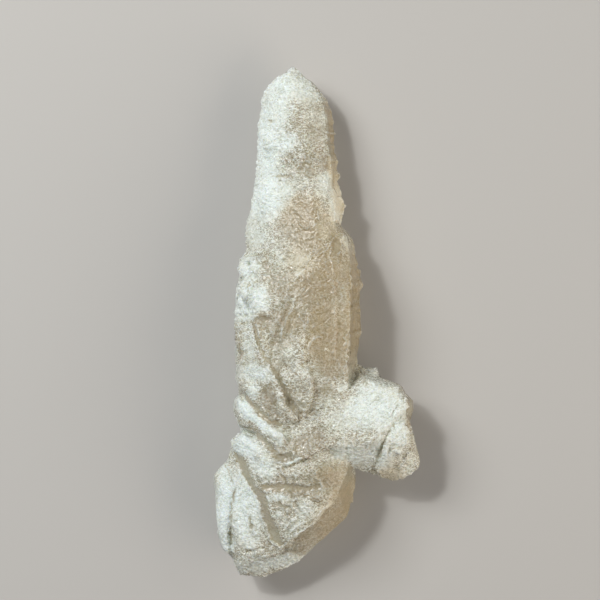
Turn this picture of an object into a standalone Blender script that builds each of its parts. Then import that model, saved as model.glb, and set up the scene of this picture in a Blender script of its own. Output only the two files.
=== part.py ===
"""A quartz floater: a cluster of intergrown milky quartz that healed on every side, one solid.

Metres, +Z up. The stone lies on its flat back. +Y runs along the main crystal towards its point,
+X runs towards the side crystal, and the origin is on the flat back, under the stone's middle.
All the sizes below are in millimetres.
"""

import math
import random

import bmesh
import bpy
from mathutils import Matrix, Vector

MM = 0.001

# Driving dimensions of the whole stone
TIP_Y = 47.8  # the point's apex
FRONT_Z = 17.2  # the prism's front face above the surface that the stone lies on
BACK_RISE = 0.9  # how far the crystals' backs stand off that surface, round the lamella they rest on

# Growth steps: shallow notches across the crystals, deepest on their side edges
POINT_STEP = 1.75  # mean distance between notches on the point
POINT_NOTCH = (0.16, 0.46)  # depth on the left and on the right edge
PRISM_STEP = 1.3
PRISM_NOTCH = (0.36, 0.44)
NOTCH_SHARE = 0.24  # share of a step that the notch's lower flank takes
SHOULDER_SHARE = 0.80  # where on a step its upper flank starts

QUARTZ_COLOUR = (0.72, 0.68, 0.60, 1.0)
QUARTZ_ROUGHNESS = 0.45
SHOULDER_CRYSTALS = 30
SLIVER_MM = 0.05  # edges shorter than this are closed up
SEED = 7


class Section:
    """A seven-sided section across a crystal that lies along Y."""

    # How much of a notch's depth each corner gets, in the order that corners() gives them
    NOTCH_WEIGHTS = (1.0, 0.1, 0.0, 0.1, 1.0, 0.4, 0.4)

    def __init__(self, y, left, right, ridge, front, flat=0.0, back=BACK_RISE):
        self.y = y
        self.left = left
        self.right = right
        self.ridge = ridge  # x of the front ridge
        self.front = front  # z of the front ridge
        self.flat = flat  # 0: two faces meet at the ridge; 1: one flat front face
        self.back = back  # z of the back face

    def mixed(self, other, t):
        """The section a share t of the way to another."""
        mine = (self.y, self.left, self.right, self.ridge, self.front, self.flat, self.back)
        theirs = (other.y, other.left, other.right, other.ridge, other.front, other.flat, other.back)
        return Section(*(a + (b - a) * t for a, b in zip(mine, theirs)))

    def corners(self, notch=(0.0, 0.0)):
        """The corners, from the left edge over the front to the right edge and back underneath."""
        waist = self.back + (self.front - self.back) * 0.42
        rise = self.front - waist
        left_brow = self.left + (self.ridge - self.left) * 0.33
        right_brow = self.right - (self.right - self.ridge) * 0.24
        middle = (self.left + self.right) / 2
        half_back = (self.right - self.left) * 0.29
        points = [
            Vector((self.left, self.y, waist)),
            Vector((left_brow, self.y, waist + rise * (0.36 + 0.58 * self.flat))),
            Vector((self.ridge, self.y, self.front)),
            Vector((right_brow, self.y, waist + rise * (0.50 + 0.45 * self.flat))),
            Vector((self.right, self.y, waist)),
            Vector((middle + half_back, self.y, self.back)),
            Vector((middle - half_back, self.y, self.back)),
        ]
        centre = Vector((middle, self.y, (self.front + self.back) / 2))
        for point, weight in zip(points, self.NOTCH_WEIGHTS):
            depth = notch[0] if point.x < middle else notch[1]
            point += (centre - point).normalized() * depth * weight
        return points


# The upper crystal, from under its apex down into the prism that encloses its lower half
POINT_APEX = (-0.8, TIP_Y, 7.6)
POINT_SECTIONS = [
    Section(47.0, -1.8, 0.4, -0.8, 8.6, flat=0.1, back=6.2),
    Section(45.8, -3.8, 1.8, -0.8, 9.7, flat=0.15, back=4.6),
    Section(44.1, -5.6, 3.7, -0.7, 10.8, flat=0.2, back=3.0),
    Section(42.0, -6.6, 5.4, -0.5, 11.8, flat=0.2, back=1.8),
    Section(39.3, -7.1, 6.6, -0.2, 12.5, flat=0.25, back=1.1),
    Section(36.4, -7.6, 7.1, 0.1, 13.0, flat=0.25),
    Section(32.2, -7.6, 7.2, 0.9, 13.5, flat=0.25),
    Section(31.4, -7.7, 7.8, 1.2, 13.6, flat=0.25),
    Section(25.4, -8.2, 7.7, 2.2, 14.2, flat=0.3),
    Section(22.0, -8.8, 8.4, 3.0, 14.6, flat=0.35),
    Section(18.6, -9.4, 8.0, 3.8, 14.9, flat=0.45),
    Section(13.0, -9.8, 8.5, 4.6, 15.3, flat=0.55),
    Section(6.0, -8.4, 8.0, 4.0, 14.6, flat=0.55),
]
POINT_ROOT = [
    Section(2.0, -8.0, 8.0, 4.0, 13.6, flat=0.5),
]

# The wider prism round the middle
PRISM_SECTIONS = [
    Section(19.4, -4.0, 7.9, 5.4, 10.5, flat=0.6),
    Section(15.6, -7.6, 10.4, 5.6, 13.2, flat=0.7),
    Section(12.7, -9.2, 11.0, 5.0, 14.6, flat=0.8),
    Section(12.0, -10.9, 11.2, 4.2, 15.0, flat=0.85),
    Section(9.6, -11.1, 11.8, 3.0, 16.2, flat=0.9),
    Section(7.1, -11.4, 12.6, 2.2, 16.9, flat=0.95),
    Section(5.7, -11.6, 12.0, 2.0, FRONT_Z, flat=0.95),
    Section(-1.0, -12.0, 12.0, 2.0, FRONT_Z, flat=0.95),
    Section(-7.6, -11.6, 11.6, 2.2, 16.9, flat=0.95),
    Section(-14.0, -11.2, 11.3, 2.4, 16.4, flat=0.95),
]
PRISM_ROOT = [
    Section(-20.0, -10.6, 11.0, 2.4, 15.8, flat=0.9),
    Section(-27.0, -9.0, 10.6, 2.4, 14.6, flat=0.85),
    Section(-31.0, -7.0, 9.6, 2.0, 12.4, flat=0.8),
]

# Plates that lean on the prism's left flank, each by its corners (x, y, z)
LEFT_PLATES = {
    "first_plate": [
        (-7.8, -0.8, 16.6), (-6.6, -5.2, 17.4), (-5.2, -8.0, 17.9), (-3.2, -11.0, 18.3),
        (-2.6, -13.6, 18.2), (-1.1, -16.4, 17.6), (0.3, -18.0, 16.9), (-3.0, -19.3, 16.2),
        (-6.5, -17.4, 15.2), (-8.3, -15.7, 14.2), (-11.0, -12.4, 11.6), (-10.4, -8.0, 13.7),
        (-10.0, -2.6, 13.8), (-11.4, 0.6, 8.0), (-11.6, -4.3, 8.0), (-11.6, -10.6, 8.0),
        (-9.0, -1.0, 3.1), (-9.0, -12.0, 3.3), (-2.0, -16.0, 3.2), (-4.0, -4.0, 3.0),
    ],
    "first_plate_ledge": [
        (-10.8, -9.8, 13.2), (-8.6, -8.4, 14.9), (-5.8, -9.6, 16.9), (-3.8, -13.4, 17.8),
        (-5.8, -17.0, 16.4), (-8.6, -15.2, 14.6), (-10.7, -12.2, 12.6), (-11.3, -10.6, 9.0),
        (-8.0, -10.0, 9.1), (-5.0, -15.0, 9.0),
    ],
    "rolled_plate_left": [
        (-11.0, -13.8, 12.0), (-9.0, -15.3, 14.2), (-7.0, -17.0, 15.8), (-6.4, -20.0, 15.6),
        (-8.6, -20.2, 14.2), (-10.7, -19.3, 11.8), (-11.9, -14.2, 8.6), (-12.0, -17.0, 8.2),
        (-11.2, -19.6, 8.1), (-9.5, -14.0, 3.4), (-9.5, -19.0, 3.6), (-4.0, -21.0, 3.5), (-3.0, -19.0, 3.7),
    ],
    "rolled_plate_right": [
        (-7.4, -17.2, 15.4), (-4.4, -19.0, 17.0), (-2.4, -20.6, 17.2), (-1.8, -21.6, 16.6),
        (-2.5, -23.4, 15.8), (-4.3, -24.2, 15.7), (-6.9, -21.6, 15.3), (-8.2, -20.2, 14.2),
        (-6.0, -17.6, 6.0), (-1.6, -22.0, 6.2), (-5.0, -23.4, 6.1),
    ],
    "wide_plate": [
        (-12.5, -22.1, 10.6), (-10.7, -20.2, 12.8), (-7.0, -21.8, 15.3), (-3.6, -24.6, 16.3),
        (-1.4, -29.4, 16.0), (-1.2, -34.0, 15.2), (-3.4, -39.2, 14.0), (-4.7, -36.1, 14.7),
        (-5.6, -33.0, 15.0), (-7.1, -31.0, 14.7), (-8.3, -28.8, 14.2), (-9.7, -25.8, 13.2),
        (-11.6, -23.5, 11.2), (-12.5, -23.4, 6.0), (-11.4, -26.4, 8.4), (-9.4, -30.0, 9.4),
        (-7.6, -33.4, 9.6), (-5.0, -40.4, 9.4), (-10.0, -21.0, 3.8), (-10.0, -27.0, 3.9),
        (-3.0, -39.0, 4.1), (1.0, -30.0, 4.0),
    ],
    "wide_plate_cap": [
        (-11.8, -21.8, 11.6), (-8.4, -21.2, 14.6), (-5.2, -23.2, 16.2), (-4.6, -26.6, 16.4),
        (-7.8, -27.4, 14.9), (-10.6, -24.0, 12.8), (-9.0, -22.0, 9.0), (-5.0, -25.6, 9.1),
        (-9.0, -25.0, 9.2),
    ],
    "lower_plate": [
        (-12.8, -23.9, 9.0), (-11.6, -26.0, 11.0), (-10.5, -27.4, 11.7), (-9.3, -29.2, 12.2),
        (-7.7, -31.3, 12.7), (-6.8, -33.4, 12.8), (-6.5, -36.0, 12.7), (-5.3, -38.6, 12.4),
        (-3.5, -41.5, 12.0), (-10.3, -43.6, 10.8), (-11.9, -42.4, 10.5), (-11.7, -36.0, 11.9),
        (-12.0, -29.5, 11.3), (-13.3, -25.0, 6.4), (-12.6, -36.0, 6.8), (-12.4, -43.4, 6.3),
        (-10.6, -46.2, 5.6), (-12.0, -28.0, 3.2), (-11.0, -43.0, 3.1), (-3.0, -42.0, 3.3),
        (-5.0, -32.0, 3.4),
    ],
    "lower_plate_ledge": [
        (-11.2, -36.6, 11.6), (-9.4, -34.4, 12.2), (-7.0, -35.4, 13.1), (-5.8, -39.4, 12.9),
        (-7.4, -42.2, 12.3), (-10.9, -42.0, 11.3), (-9.0, -36.0, 8.0), (-7.4, -41.0, 8.1),
        (-10.4, -40.0, 8.2),
    ],
    "outer_plate": [
        (-13.8, -26.0, 8.4), (-12.9, -28.0, 10.3), (-12.6, -31.0, 10.8), (-12.8, -39.0, 10.6),
        (-12.6, -43.0, 9.4), (-14.6, -29.6, 9.2), (-14.3, -38.6, 9.2), (-13.3, -42.4, 8.6),
        (-15.4, -28.8, 6.8), (-15.2, -31.6, 6.9), (-14.9, -36.0, 6.7), (-14.7, -39.4, 6.6),
        (-13.6, -42.5, 6.5), (-11.9, -45.0, 6.4), (-14.7, -26.9, 6.5),
        (-12.5, -28.0, 2.9), (-13.4, -37.0, 2.8), (-11.0, -43.5, 2.7), (-9.0, -34.0, 3.0),
    ],
}

# The foot: a wedge with a sloping glassy face at its lower right, and terraces across its front
FOOT = {
    "wedge": [
        (-10.8, -44.5, 10.2), (-6.6, -42.8, 11.8), (-2.9, -40.7, 13.2), (-0.6, -39.2, 13.8),
        (1.4, -37.9, 14.2), (3.5, -36.1, 14.6), (5.5, -33.7, 14.9), (7.6, -31.2, 15.0), (9.2, -27.5, 14.6),
        (-12.0, -44.9, 7.4), (-10.4, -47.0, 7.2), (-8.2, -47.2, 7.6), (-5.7, -47.5, 7.5),
        (-2.3, -46.3, 7.7), (0.4, -44.8, 7.6), (2.8, -42.4, 7.4), (5.9, -39.8, 7.3), (9.3, -36.6, 7.5),
        (10.4, -33.1, 7.4), (11.1, -30.7, 7.6), (10.8, -28.4, 8.0), (10.6, -22.0, 8.1),
        (-9.0, -45.0, 2.6), (-4.0, -44.5, 1.7), (3.0, -39.0, 1.2), (8.6, -33.0, 1.4), (8.8, -24.0, 1.3),
        (-9.0, -34.0, 1.6), (-5.4, -24.0, 15.0), (2.0, -24.0, 15.9), (-6.0, -22.0, 1.5), (0.0, -32.0, 15.4),
    ],
    "upper_shelf": [
        (-3.4, -24.6, 16.4), (-1.4, -22.0, 16.4), (3.8, -21.4, 16.8), (5.4, -23.4, 16.8),
        (2.5, -24.2, 17.1), (-0.3, -25.2, 17.0), (-2.9, -26.4, 16.8), (-4.6, -25.4, 16.3),
        (-3.0, -25.4, 11.0), (4.0, -24.4, 11.1), (0.0, -21.0, 11.2),
    ],
    "first_terrace_left": [
        (-7.2, -26.0, 15.2), (-3.2, -26.9, 16.0), (-1.4, -27.4, 16.2), (-7.3, -28.2, 15.2),
        (-3.2, -28.9, 16.1), (-1.0, -29.4, 16.2), (-6.4, -30.8, 14.2), (-1.8, -31.6, 14.9),
        (-4.0, -25.0, 14.0), (-1.4, -26.0, 14.1), (-4.0, -28.0, 9.0), (-1.8, -29.0, 9.2),
    ],
    "first_terrace_right": [
        (-1.9, -26.6, 16.2), (1.6, -25.6, 16.8), (5.2, -25.8, 16.6), (7.0, -27.0, 15.8),
        (-1.4, -28.9, 16.1), (2.4, -28.6, 16.4), (6.0, -29.0, 15.9), (-1.0, -30.9, 14.8),
        (5.2, -31.2, 14.9), (7.8, -28.6, 14.2), (-1.4, -25.0, 13.6), (5.0, -24.0, 13.7), (1.0, -27.6, 8.9),
    ],
    "second_terrace_left": [
        (-6.4, -31.4, 14.5), (-1.0, -31.2, 15.3), (-5.7, -32.8, 14.8), (-0.6, -33.0, 15.5),
        (-5.0, -35.2, 14.0), (-0.2, -35.6, 14.2), (-5.0, -30.0, 13.4), (-0.4, -30.0, 13.8),
        (-3.0, -32.4, 9.0),
    ],
    "second_terrace_right": [
        (-0.8, -30.8, 15.3), (2.6, -30.1, 15.6), (7.4, -30.0, 15.0), (0.2, -32.8, 15.6),
        (3.2, -32.3, 15.9), (6.0, -32.2, 15.4), (0.8, -35.8, 14.0), (5.8, -33.6, 14.6),
        (-0.2, -29.4, 13.8), (6.6, -29.0, 14.0), (2.4, -32.0, 9.1),
    ],
    "third_terrace": [
        (-3.6, -35.8, 14.6), (0.4, -34.6, 15.1), (4.4, -33.6, 15.1), (-3.0, -38.6, 14.2),
        (0.0, -37.6, 14.9), (3.0, -36.0, 15.0), (-3.0, -40.2, 12.9), (2.6, -37.4, 13.6),
        (-3.6, -34.4, 13.2), (5.0, -32.6, 13.6), (0.0, -36.6, 8.8),
    ],
    "left_ledge": [
        (-10.9, -43.4, 11.0), (-6.8, -42.2, 12.4), (-4.0, -40.9, 12.8), (-5.4, -43.3, 11.6),
        (-10.6, -44.9, 10.2), (-11.0, -42.4, 7.1), (-5.0, -40.4, 7.2), (-6.0, -44.2, 7.3),
        (-10.8, -45.0, 7.0),
    ],
}

# Sheets and blocks that lie on the front faces, between the first plate, the side crystal and the point
FRONT_PLATES = {
    "heart_plate": [
        (-2.8, -3.0, 16.8), (-0.6, -1.7, 17.0), (1.5, -3.2, 17.6), (2.2, -6.4, 17.9),
        (0.7, -7.6, 17.8), (-1.4, -7.9, 17.4), (-3.1, -6.4, 16.9),
        (-1.0, -1.0, 13.0), (3.4, -6.4, 13.1), (-2.6, -8.4, 13.2),
    ],
    "lower_heart_plate": [
        (-2.4, -9.2, 16.9), (-0.6, -7.6, 17.2), (2.1, -8.3, 17.9), (2.9, -11.2, 18.2),
        (2.5, -14.5, 17.9), (1.4, -17.2, 17.0), (-0.1, -15.6, 16.8), (-1.4, -12.6, 16.9),
        (0.0, -7.0, 12.9), (4.0, -12.0, 12.8), (1.4, -18.4, 12.7), (-2.4, -11.0, 13.3),
    ],
    "neck_plate": [
        (-0.9, -18.2, 15.6), (2.4, -16.6, 16.0), (5.2, -18.6, 16.4), (6.4, -22.0, 16.4),
        (3.2, -23.0, 16.7), (0.0, -22.6, 16.6), (-1.8, -20.4, 15.6),
        (0.0, -16.6, 12.2), (6.4, -22.4, 12.3), (-1.8, -22.8, 12.4),
    ],
    "groove_sliver": [
        (-5.2, -7.4, 17.0), (-4.0, -8.2, 17.3), (-2.8, -11.2, 17.2), (-3.8, -11.6, 17.0),
        (-4.6, -7.6, 14.4), (-2.6, -12.0, 14.5), (-3.6, -12.0, 14.6),
    ],
    "seam_plate_right": [
        (8.4, 17.2, 12.4), (5.9, 14.7, 15.5), (2.6, 12.2, 16.1), (0.6, 9.2, 16.7), (1.4, 5.0, 17.1),
        (6.7, 9.0, 17.2), (6.9, 4.0, 17.2), (9.7, 12.4, 13.7), (10.6, 7.0, 14.2),
        (7.4, 15.0, 8.0), (3.0, 10.0, 8.1), (9.0, 8.0, 8.2),
    ],
    "right_spur": [
        (6.2, 25.2, 11.6), (7.7, 24.0, 10.4), (9.0, 22.0, 9.0), (8.8, 20.4, 9.1), (7.8, 18.8, 10.0),
        (6.0, 19.4, 12.8), (5.6, 22.6, 13.2), (8.4, 22.0, 5.0), (7.6, 19.4, 5.1), (6.4, 24.6, 5.2),
    ],
}

# The side crystal that grew through the prism: a broad frosted block, and a lower glassy one at its end
SIDE_CRYSTAL = {
    "broad_block": [
        (3.6, -17.6, 16.9), (6.0, -14.8, 16.6), (9.2, -12.9, 15.9), (12.2, -10.6, 14.2),
        (16.0, -12.0, 14.4), (18.4, -12.0, 13.5), (19.9, -14.2, 13.3), (20.0, -15.6, 13.7),
        (18.5, -17.2, 14.9), (17.2, -20.0, 15.3), (15.6, -21.6, 15.5), (9.9, -22.4, 16.1),
        (5.0, -22.4, 16.8), (11.4, -9.4, 10.0), (16.0, -11.2, 10.4), (18.4, -11.1, 9.8),
        (20.0, -12.5, 9.2), (21.1, -14.4, 8.8), (21.3, -17.0, 8.7), (20.9, -19.4, 8.6),
        (5.5, -24.8, 13.6), (7.6, -25.8, 12.2), (9.7, -26.8, 10.8), (11.8, -27.3, 9.6), (14.4, -28.4, 9.4),
        (12.0, -11.0, 3.2), (18.0, -13.0, 3.4), (19.4, -18.0, 3.0), (14.0, -26.0, 3.3), (8.0, -24.0, 2.5),
    ],
    "glassy_block": [
        (16.6, -20.6, 14.0), (19.8, -16.8, 13.4), (21.0, -18.6, 12.6), (18.6, -22.0, 13.7),
        (16.6, -24.6, 13.7), (20.6, -22.8, 12.4), (21.9, -23.4, 10.6), (23.0, -26.0, 9.4),
        (22.8, -27.4, 8.8), (20.0, -29.4, 8.9), (18.1, -29.8, 8.6), (15.6, -28.9, 9.3),
        (15.6, -26.8, 12.2), (21.2, -19.0, 9.1), (21.9, -22.6, 7.1), (22.8, -26.0, 6.1),
        (14.9, -27.4, 11.6), (18.4, -18.0, 3.5), (21.0, -25.0, 3.6), (18.6, -28.0, 3.7), (14.4, -26.4, 3.8),
    ],
    "glassy_ridge": [
        (16.9, -20.4, 15.2), (17.5, -21.0, 14.8), (16.4, -24.6, 14.6), (15.2, -27.9, 11.3),
        (14.6, -27.9, 11.3), (15.6, -24.4, 14.7), (16.2, -21.0, 15.2), (15.6, -24.0, 9.0), (16.4, -22.0, 9.1),
    ],
    "end_knob": [
        (18.0, -19.2, 14.6), (19.8, -18.4, 14.4), (20.9, -20.2, 13.8), (20.9, -22.6, 13.2),
        (19.2, -24.6, 13.4), (17.3, -23.6, 14.2), (17.0, -21.0, 14.8), (21.4, -20.6, 8.1), (19.0, -25.6, 8.2),
        (16.4, -22.8, 8.3), (19.2, -17.6, 8.4),
    ],
    "end_facet": [
        (20.2, -24.6, 12.2), (21.8, -23.8, 11.2), (22.9, -26.6, 9.8), (21.4, -28.4, 9.6), (19.0, -29.3, 10.1),
        (19.2, -26.8, 11.8), (20.4, -25.0, 7.0), (21.8, -26.8, 7.1), (19.6, -28.4, 7.2),
    ],
    "stub": [
        (12.6, -8.5, 8.6), (15.0, -8.6, 8.2), (15.2, -11.6, 8.6), (12.6, -11.8, 9.2),
        (12.2, -8.9, 4.6), (15.3, -9.1, 4.8), (15.4, -12.4, 4.4), (12.2, -12.4, 4.5),
    ],
    "small_stub": [
        (10.8, -7.6, 9.1), (12.4, -8.2, 9.3), (12.8, -9.6, 9.0), (11.4, -10.4, 9.7),
        (10.8, -7.8, 6.0), (12.8, -9.4, 6.1), (11.4, -10.6, 6.2),
    ],
}

# Crystals that run along the sides and the back: (foot, tip, radius), each point (x, y, z)
FLANK_CRYSTALS = {
    "left_flank": ((-6.3, -12.0, 5.2), (-6.0, 27.0, 5.4), 3.2),
    "left_foot_flank": ((-8.2, -40.0, 4.6), (-8.3, 1.0, 4.6), 3.1),
    "left_low_flank": ((-4.6, -30.0, 3.4), (-4.6, 36.0, 4.4), 2.6),
    "right_flank": ((7.2, -14.0, 5.6), (5.4, 33.0, 6.0), 3.3),
    "right_foot_flank": ((7.6, -34.0, 4.6), (8.4, 9.0, 4.8), 3.2),
    "right_low_flank": ((4.6, -32.0, 3.3), (3.6, 38.6, 4.6), 2.6),
    "side_flank": ((6.0, -20.0, 4.2), (21.0, -21.0, 6.0), 3.4),
}

# Sheets on the back: (rim as (x, y) corners, level). The stone rests on the first one, at level 0.
BACK_SHEETS = {
    "rest_sheet": (
        [
            (-3.4, 25.0), (2.4, 27.5), (5.0, 18.0), (6.0, 4.0), (6.8, -12.0), (7.2, -22.0), (4.6, -31.0),
            (-1.0, -35.5), (-6.0, -33.5), (-7.2, -24.0), (-6.6, -8.0), (-6.0, 6.0), (-5.2, 17.0),
        ],
        0.0,
    ),
    "foot_sheet": ([(-8.6, -37.0), (-3.0, -41.5), (3.6, -37.5), (8.0, -27.0), (-8.0, -26.0)], 0.45),
    "point_sheet": ([(-3.6, 20.0), (4.6, 22.0), (4.2, 33.0), (0.4, 38.5), (-3.4, 34.0)], 0.5),
    "side_sheet": ([(4.0, -8.0), (8.4, -10.0), (9.2, -22.0), (5.0, -26.0)], 0.35),
}

# Hollows cut in the front, each by the corners of what is taken away
HOLLOWS = {
    "heart_groove": [
        (-7.4, -1.4, 19.0), (-5.4, -6.4, 19.1), (-3.2, -10.4, 19.2), (-2.2, -13.4, 19.1), (-0.8, -16.4, 19.0),
        (-5.2, -1.2, 19.1), (-3.2, -6.0, 19.2), (-2.2, -10.0, 19.3), (-0.6, -13.4, 19.2), (0.2, -16.0, 19.1),
        (-6.6, -2.8, 16.5), (-4.3, -7.6, 15.6), (-2.9, -11.2, 15.3), (-1.5, -14.8, 15.6),
    ],
    "plate_fissure": [
        (-13.2, -27.4, 13.1), (-12.6, -27.3, 13.2), (-11.9, -32.2, 13.3), (-11.4, -32.0, 13.2),
        (-12.8, -28.0, 8.6), (-11.7, -31.8, 8.0),
    ],
    "plate_fissure_middle": [
        (-12.0, -31.2, 13.1), (-11.4, -31.3, 13.0), (-12.7, -36.6, 13.2), (-12.0, -36.6, 13.3),
        (-11.7, -31.6, 8.0), (-12.3, -36.2, 7.5),
    ],
    "plate_fissure_foot": [
        (-12.7, -36.0, 13.0), (-12.0, -36.0, 13.1), (-12.6, -41.0, 13.2), (-11.9, -41.0, 13.1),
        (-12.1, -45.0, 13.0), (-11.0, -45.0, 13.2), (-12.3, -36.4, 7.6), (-12.2, -41.0, 7.3),
        (-11.6, -44.6, 7.0),
    ],
    "point_slit": [
        (-5.1, 27.4, 15.1), (-1.2, 27.2, 15.2), (-5.0, 26.8, 15.3), (-1.3, 26.8, 15.1),
        (-4.2, 27.0, 12.4), (-1.8, 27.0, 13.2),
    ],
}


def link_helper(name, mesh):
    """An object that only takes part in the union that makes the stone."""
    helper = bpy.data.objects.new(name, mesh)
    helper.hide_render = True
    helper.display_type = "WIRE"
    return helper


def mesh_of(name, bm):
    """A bmesh in millimetres, as a mesh in metres with its faces pointing out."""
    bmesh.ops.scale(bm, vec=(MM, MM, MM), verts=bm.verts)
    bmesh.ops.recalc_face_normals(bm, faces=bm.faces)
    mesh = bpy.data.meshes.new(name)
    bm.to_mesh(mesh)
    bm.free()
    return mesh


def section_at(sections, y):
    """The section at y, between the two listed ones round it."""
    for upper, lower in zip(sections, sections[1:]):
        if y >= lower.y:
            return upper.mixed(lower, (upper.y - y) / (upper.y - lower.y))
    return sections[-1]


def stepped_crystal(name, sections, root, step, notch, rng, apex=None):
    """A crystal lofted down its sections, with a notch round it at every growth step.

    root holds the sections below those, plain, where the crystal is buried in its neighbours.
    """
    rings = [sections[0].corners()]
    y = sections[0].y
    while y - 1.6 * step > sections[-1].y:
        pitch = step * rng.uniform(0.65, 1.35)
        deep = rng.uniform(0.45, 1.25)
        groove = section_at(sections, y - NOTCH_SHARE * pitch)
        rings.append(groove.corners((notch[0] * deep, notch[1] * deep)))
        rings.append(section_at(sections, y - 0.5 * pitch).corners())
        rings.append(section_at(sections, y - SHOULDER_SHARE * pitch).corners())
        y -= pitch
    rings += [section.corners() for section in sections[-1:] + root]

    bm = bmesh.new()
    loops = [[bm.verts.new(point) for point in ring] for ring in rings]
    sides = len(loops[0])
    for upper, lower in zip(loops, loops[1:]):
        for i in range(sides):
            j = (i + 1) % sides
            bm.faces.new((upper[i], upper[j], lower[j], lower[i]))
    bm.faces.new(loops[-1])
    if apex is None:
        bm.faces.new(loops[0][::-1])
    else:
        top = bm.verts.new(apex)
        for i in range(sides):
            bm.faces.new((top, loops[0][(i + 1) % sides], loops[0][i]))
    return link_helper(name, mesh_of(name, bm))


def hull(bm):
    """Wraps a bmesh's points in their convex solid and drops what that leaves inside."""
    made = bmesh.ops.convex_hull(bm, input=list(bm.verts))
    inside = {item for item in made["geom_interior"] if isinstance(item, bmesh.types.BMVert)}
    bmesh.ops.delete(bm, geom=list(inside), context="VERTS")


def faceted(name, corners):
    """A flat-faced crystal or plate: the convex solid round its corners, each (x, y, z)."""
    bm = bmesh.new()
    for corner in corners:
        bm.verts.new(corner)
    hull(bm)
    return link_helper(name, mesh_of(name, bm))


def small_crystal(name, foot, axis, length, radius, twist):
    """A stubby six-sided crystal with a pointed end, rooted at foot and leaning along axis."""
    bm = bmesh.new()
    bmesh.ops.create_circle(bm, segments=6, radius=radius)
    shoulder = bmesh.ops.create_circle(
        bm, segments=6, radius=radius * 0.84, matrix=Matrix.Translation((0, 0, length * 0.62))
    )
    bm.verts.new((radius * 0.1, 0, length))
    bmesh.ops.translate(bm, verts=shoulder["verts"][:2], vec=(0, 0, length * 0.1))
    hull(bm)
    turn = Vector((0, 0, 1)).rotation_difference(Vector(axis).normalized()).to_matrix()
    bmesh.ops.rotate(bm, verts=bm.verts, matrix=turn @ Matrix.Rotation(twist, 3, "Z"))
    bmesh.ops.translate(bm, verts=bm.verts, vec=foot)
    return link_helper(name, mesh_of(name, bm))


def column(name, foot, tip, radius):
    """A long six-sided crystal from its foot to its pointed tip, a little narrower towards the tip."""
    axis = Vector(tip) - Vector(foot)
    shoulder_height = axis.length - 1.7 * radius
    bm = bmesh.new()
    bmesh.ops.create_circle(bm, segments=6, radius=radius)
    shoulder = bmesh.ops.create_circle(
        bm, segments=6, radius=radius * 0.88, matrix=Matrix.Translation((0, 0, shoulder_height))
    )
    bmesh.ops.translate(bm, verts=shoulder["verts"][1:3], vec=(0, 0, radius * 0.5))
    bm.verts.new((0, 0, axis.length))
    hull(bm)
    turn = Vector((0, 0, 1)).rotation_difference(axis.normalized()).to_matrix()
    bmesh.ops.rotate(bm, verts=bm.verts, matrix=turn @ Matrix.Rotation(math.radians(11.0), 3, "Z"))
    bmesh.ops.translate(bm, verts=bm.verts, vec=foot)
    return link_helper(name, mesh_of(name, bm))


def lump(name, centre, size, rng):
    """A rounded, faintly faceted lump."""
    bm = bmesh.new()
    bmesh.ops.create_icosphere(bm, subdivisions=2, radius=1.0)
    for vert in bm.verts:
        vert.co *= rng.uniform(0.93, 1.05)
    bmesh.ops.scale(bm, vec=size, verts=bm.verts)
    bmesh.ops.translate(bm, verts=bm.verts, vec=centre)
    return link_helper(name, mesh_of(name, bm))


def shoulder_druse(rng):
    """The crust of nodules and stub crystals on the prism's left shoulder and down its edge."""
    pieces = [
        lump("shoulder_lump", (-6.0, 3.0, 15.0), (2.5, 2.2, 2.1), rng),
        lump("shoulder_knob", (-8.8, 5.6, 13.4), (2.2, 2.6, 2.0), rng),
        lump("shoulder_bead", (-9.7, 9.4, 11.0), (1.5, 2.3, 2.4), rng),
        lump("point_dome", (-4.3, 23.4, 9.7), (3.4, 4.6, 2.5), rng),
        lump("point_swell", (-4.4, 34.4, 9.2), (2.8, 3.4, 2.1), rng),
        lump("plate_lump", (-8.0, -12.2, 14.0), (2.2, 2.0, 1.4), rng),
        lump("plate_edge_lump", (-9.6, -3.4, 12.6), (1.7, 2.8, 1.7), rng),
    ]
    for i in range(SHOULDER_CRYSTALS):
        down = i / SHOULDER_CRYSTALS  # 0 at the shoulder's top, 1 far down the first plate's edge
        across = rng.uniform(0.0, 1.0)
        width = 4.6 - 2.4 * down
        x = -10.5 + width * across
        y = 11.0 - 20.0 * down + rng.uniform(-0.8, 0.8)
        z = 8.6 + 6.2 * math.sqrt(across * width / 4.6)
        axis = (rng.uniform(-0.8, 0.1) - 0.5 * (1 - across), rng.uniform(0.0, 0.9), rng.uniform(0.4, 1.0))
        size = rng.uniform(0.8, 1.3) * (1.0 - 0.25 * down)
        foot = (x, y, z - size)
        pieces.append(
            small_crystal(f"shoulder_crystal_{i}", foot, axis, size * 2.0, size, rng.uniform(0, math.pi))
        )
    return pieces


def back_sheet(name, rim, level):
    """A thin sheet on the stone's back, by its rim (x, y) and the level of its outer face."""
    corners = []
    for x, y in rim:
        corners.append((x, y, level))
        corners.append((x * 1.08, y * 1.02, level + 0.9))
        corners.append((x * 0.6, y * 0.9, level + 3.0))
    return faceted(name, corners)


def quartz_material():
    material = bpy.data.materials.new("milky_quartz")
    material.use_nodes = True
    shader = material.node_tree.nodes["Principled BSDF"]
    shader.inputs["Base Color"].default_value = QUARTZ_COLOUR
    shader.inputs["Roughness"].default_value = QUARTZ_ROUGHNESS
    shader.inputs["Metallic"].default_value = 0.0
    material.diffuse_color = QUARTZ_COLOUR
    return material


def boolean(stone, name, operation, helpers):
    """Adds one Boolean modifier that takes a whole collection of helpers."""
    group = bpy.data.collections.new(name)
    bpy.context.scene.collection.children.link(group)
    for helper in helpers:
        group.objects.link(helper)
    modifier = stone.modifiers.new(name, "BOOLEAN")
    modifier.operation = operation
    modifier.solver = "EXACT"
    modifier.operand_type = "COLLECTION"
    modifier.collection = group


def faceted_group(group):
    return [faceted(name, corners) for name, corners in group.items()]


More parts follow.
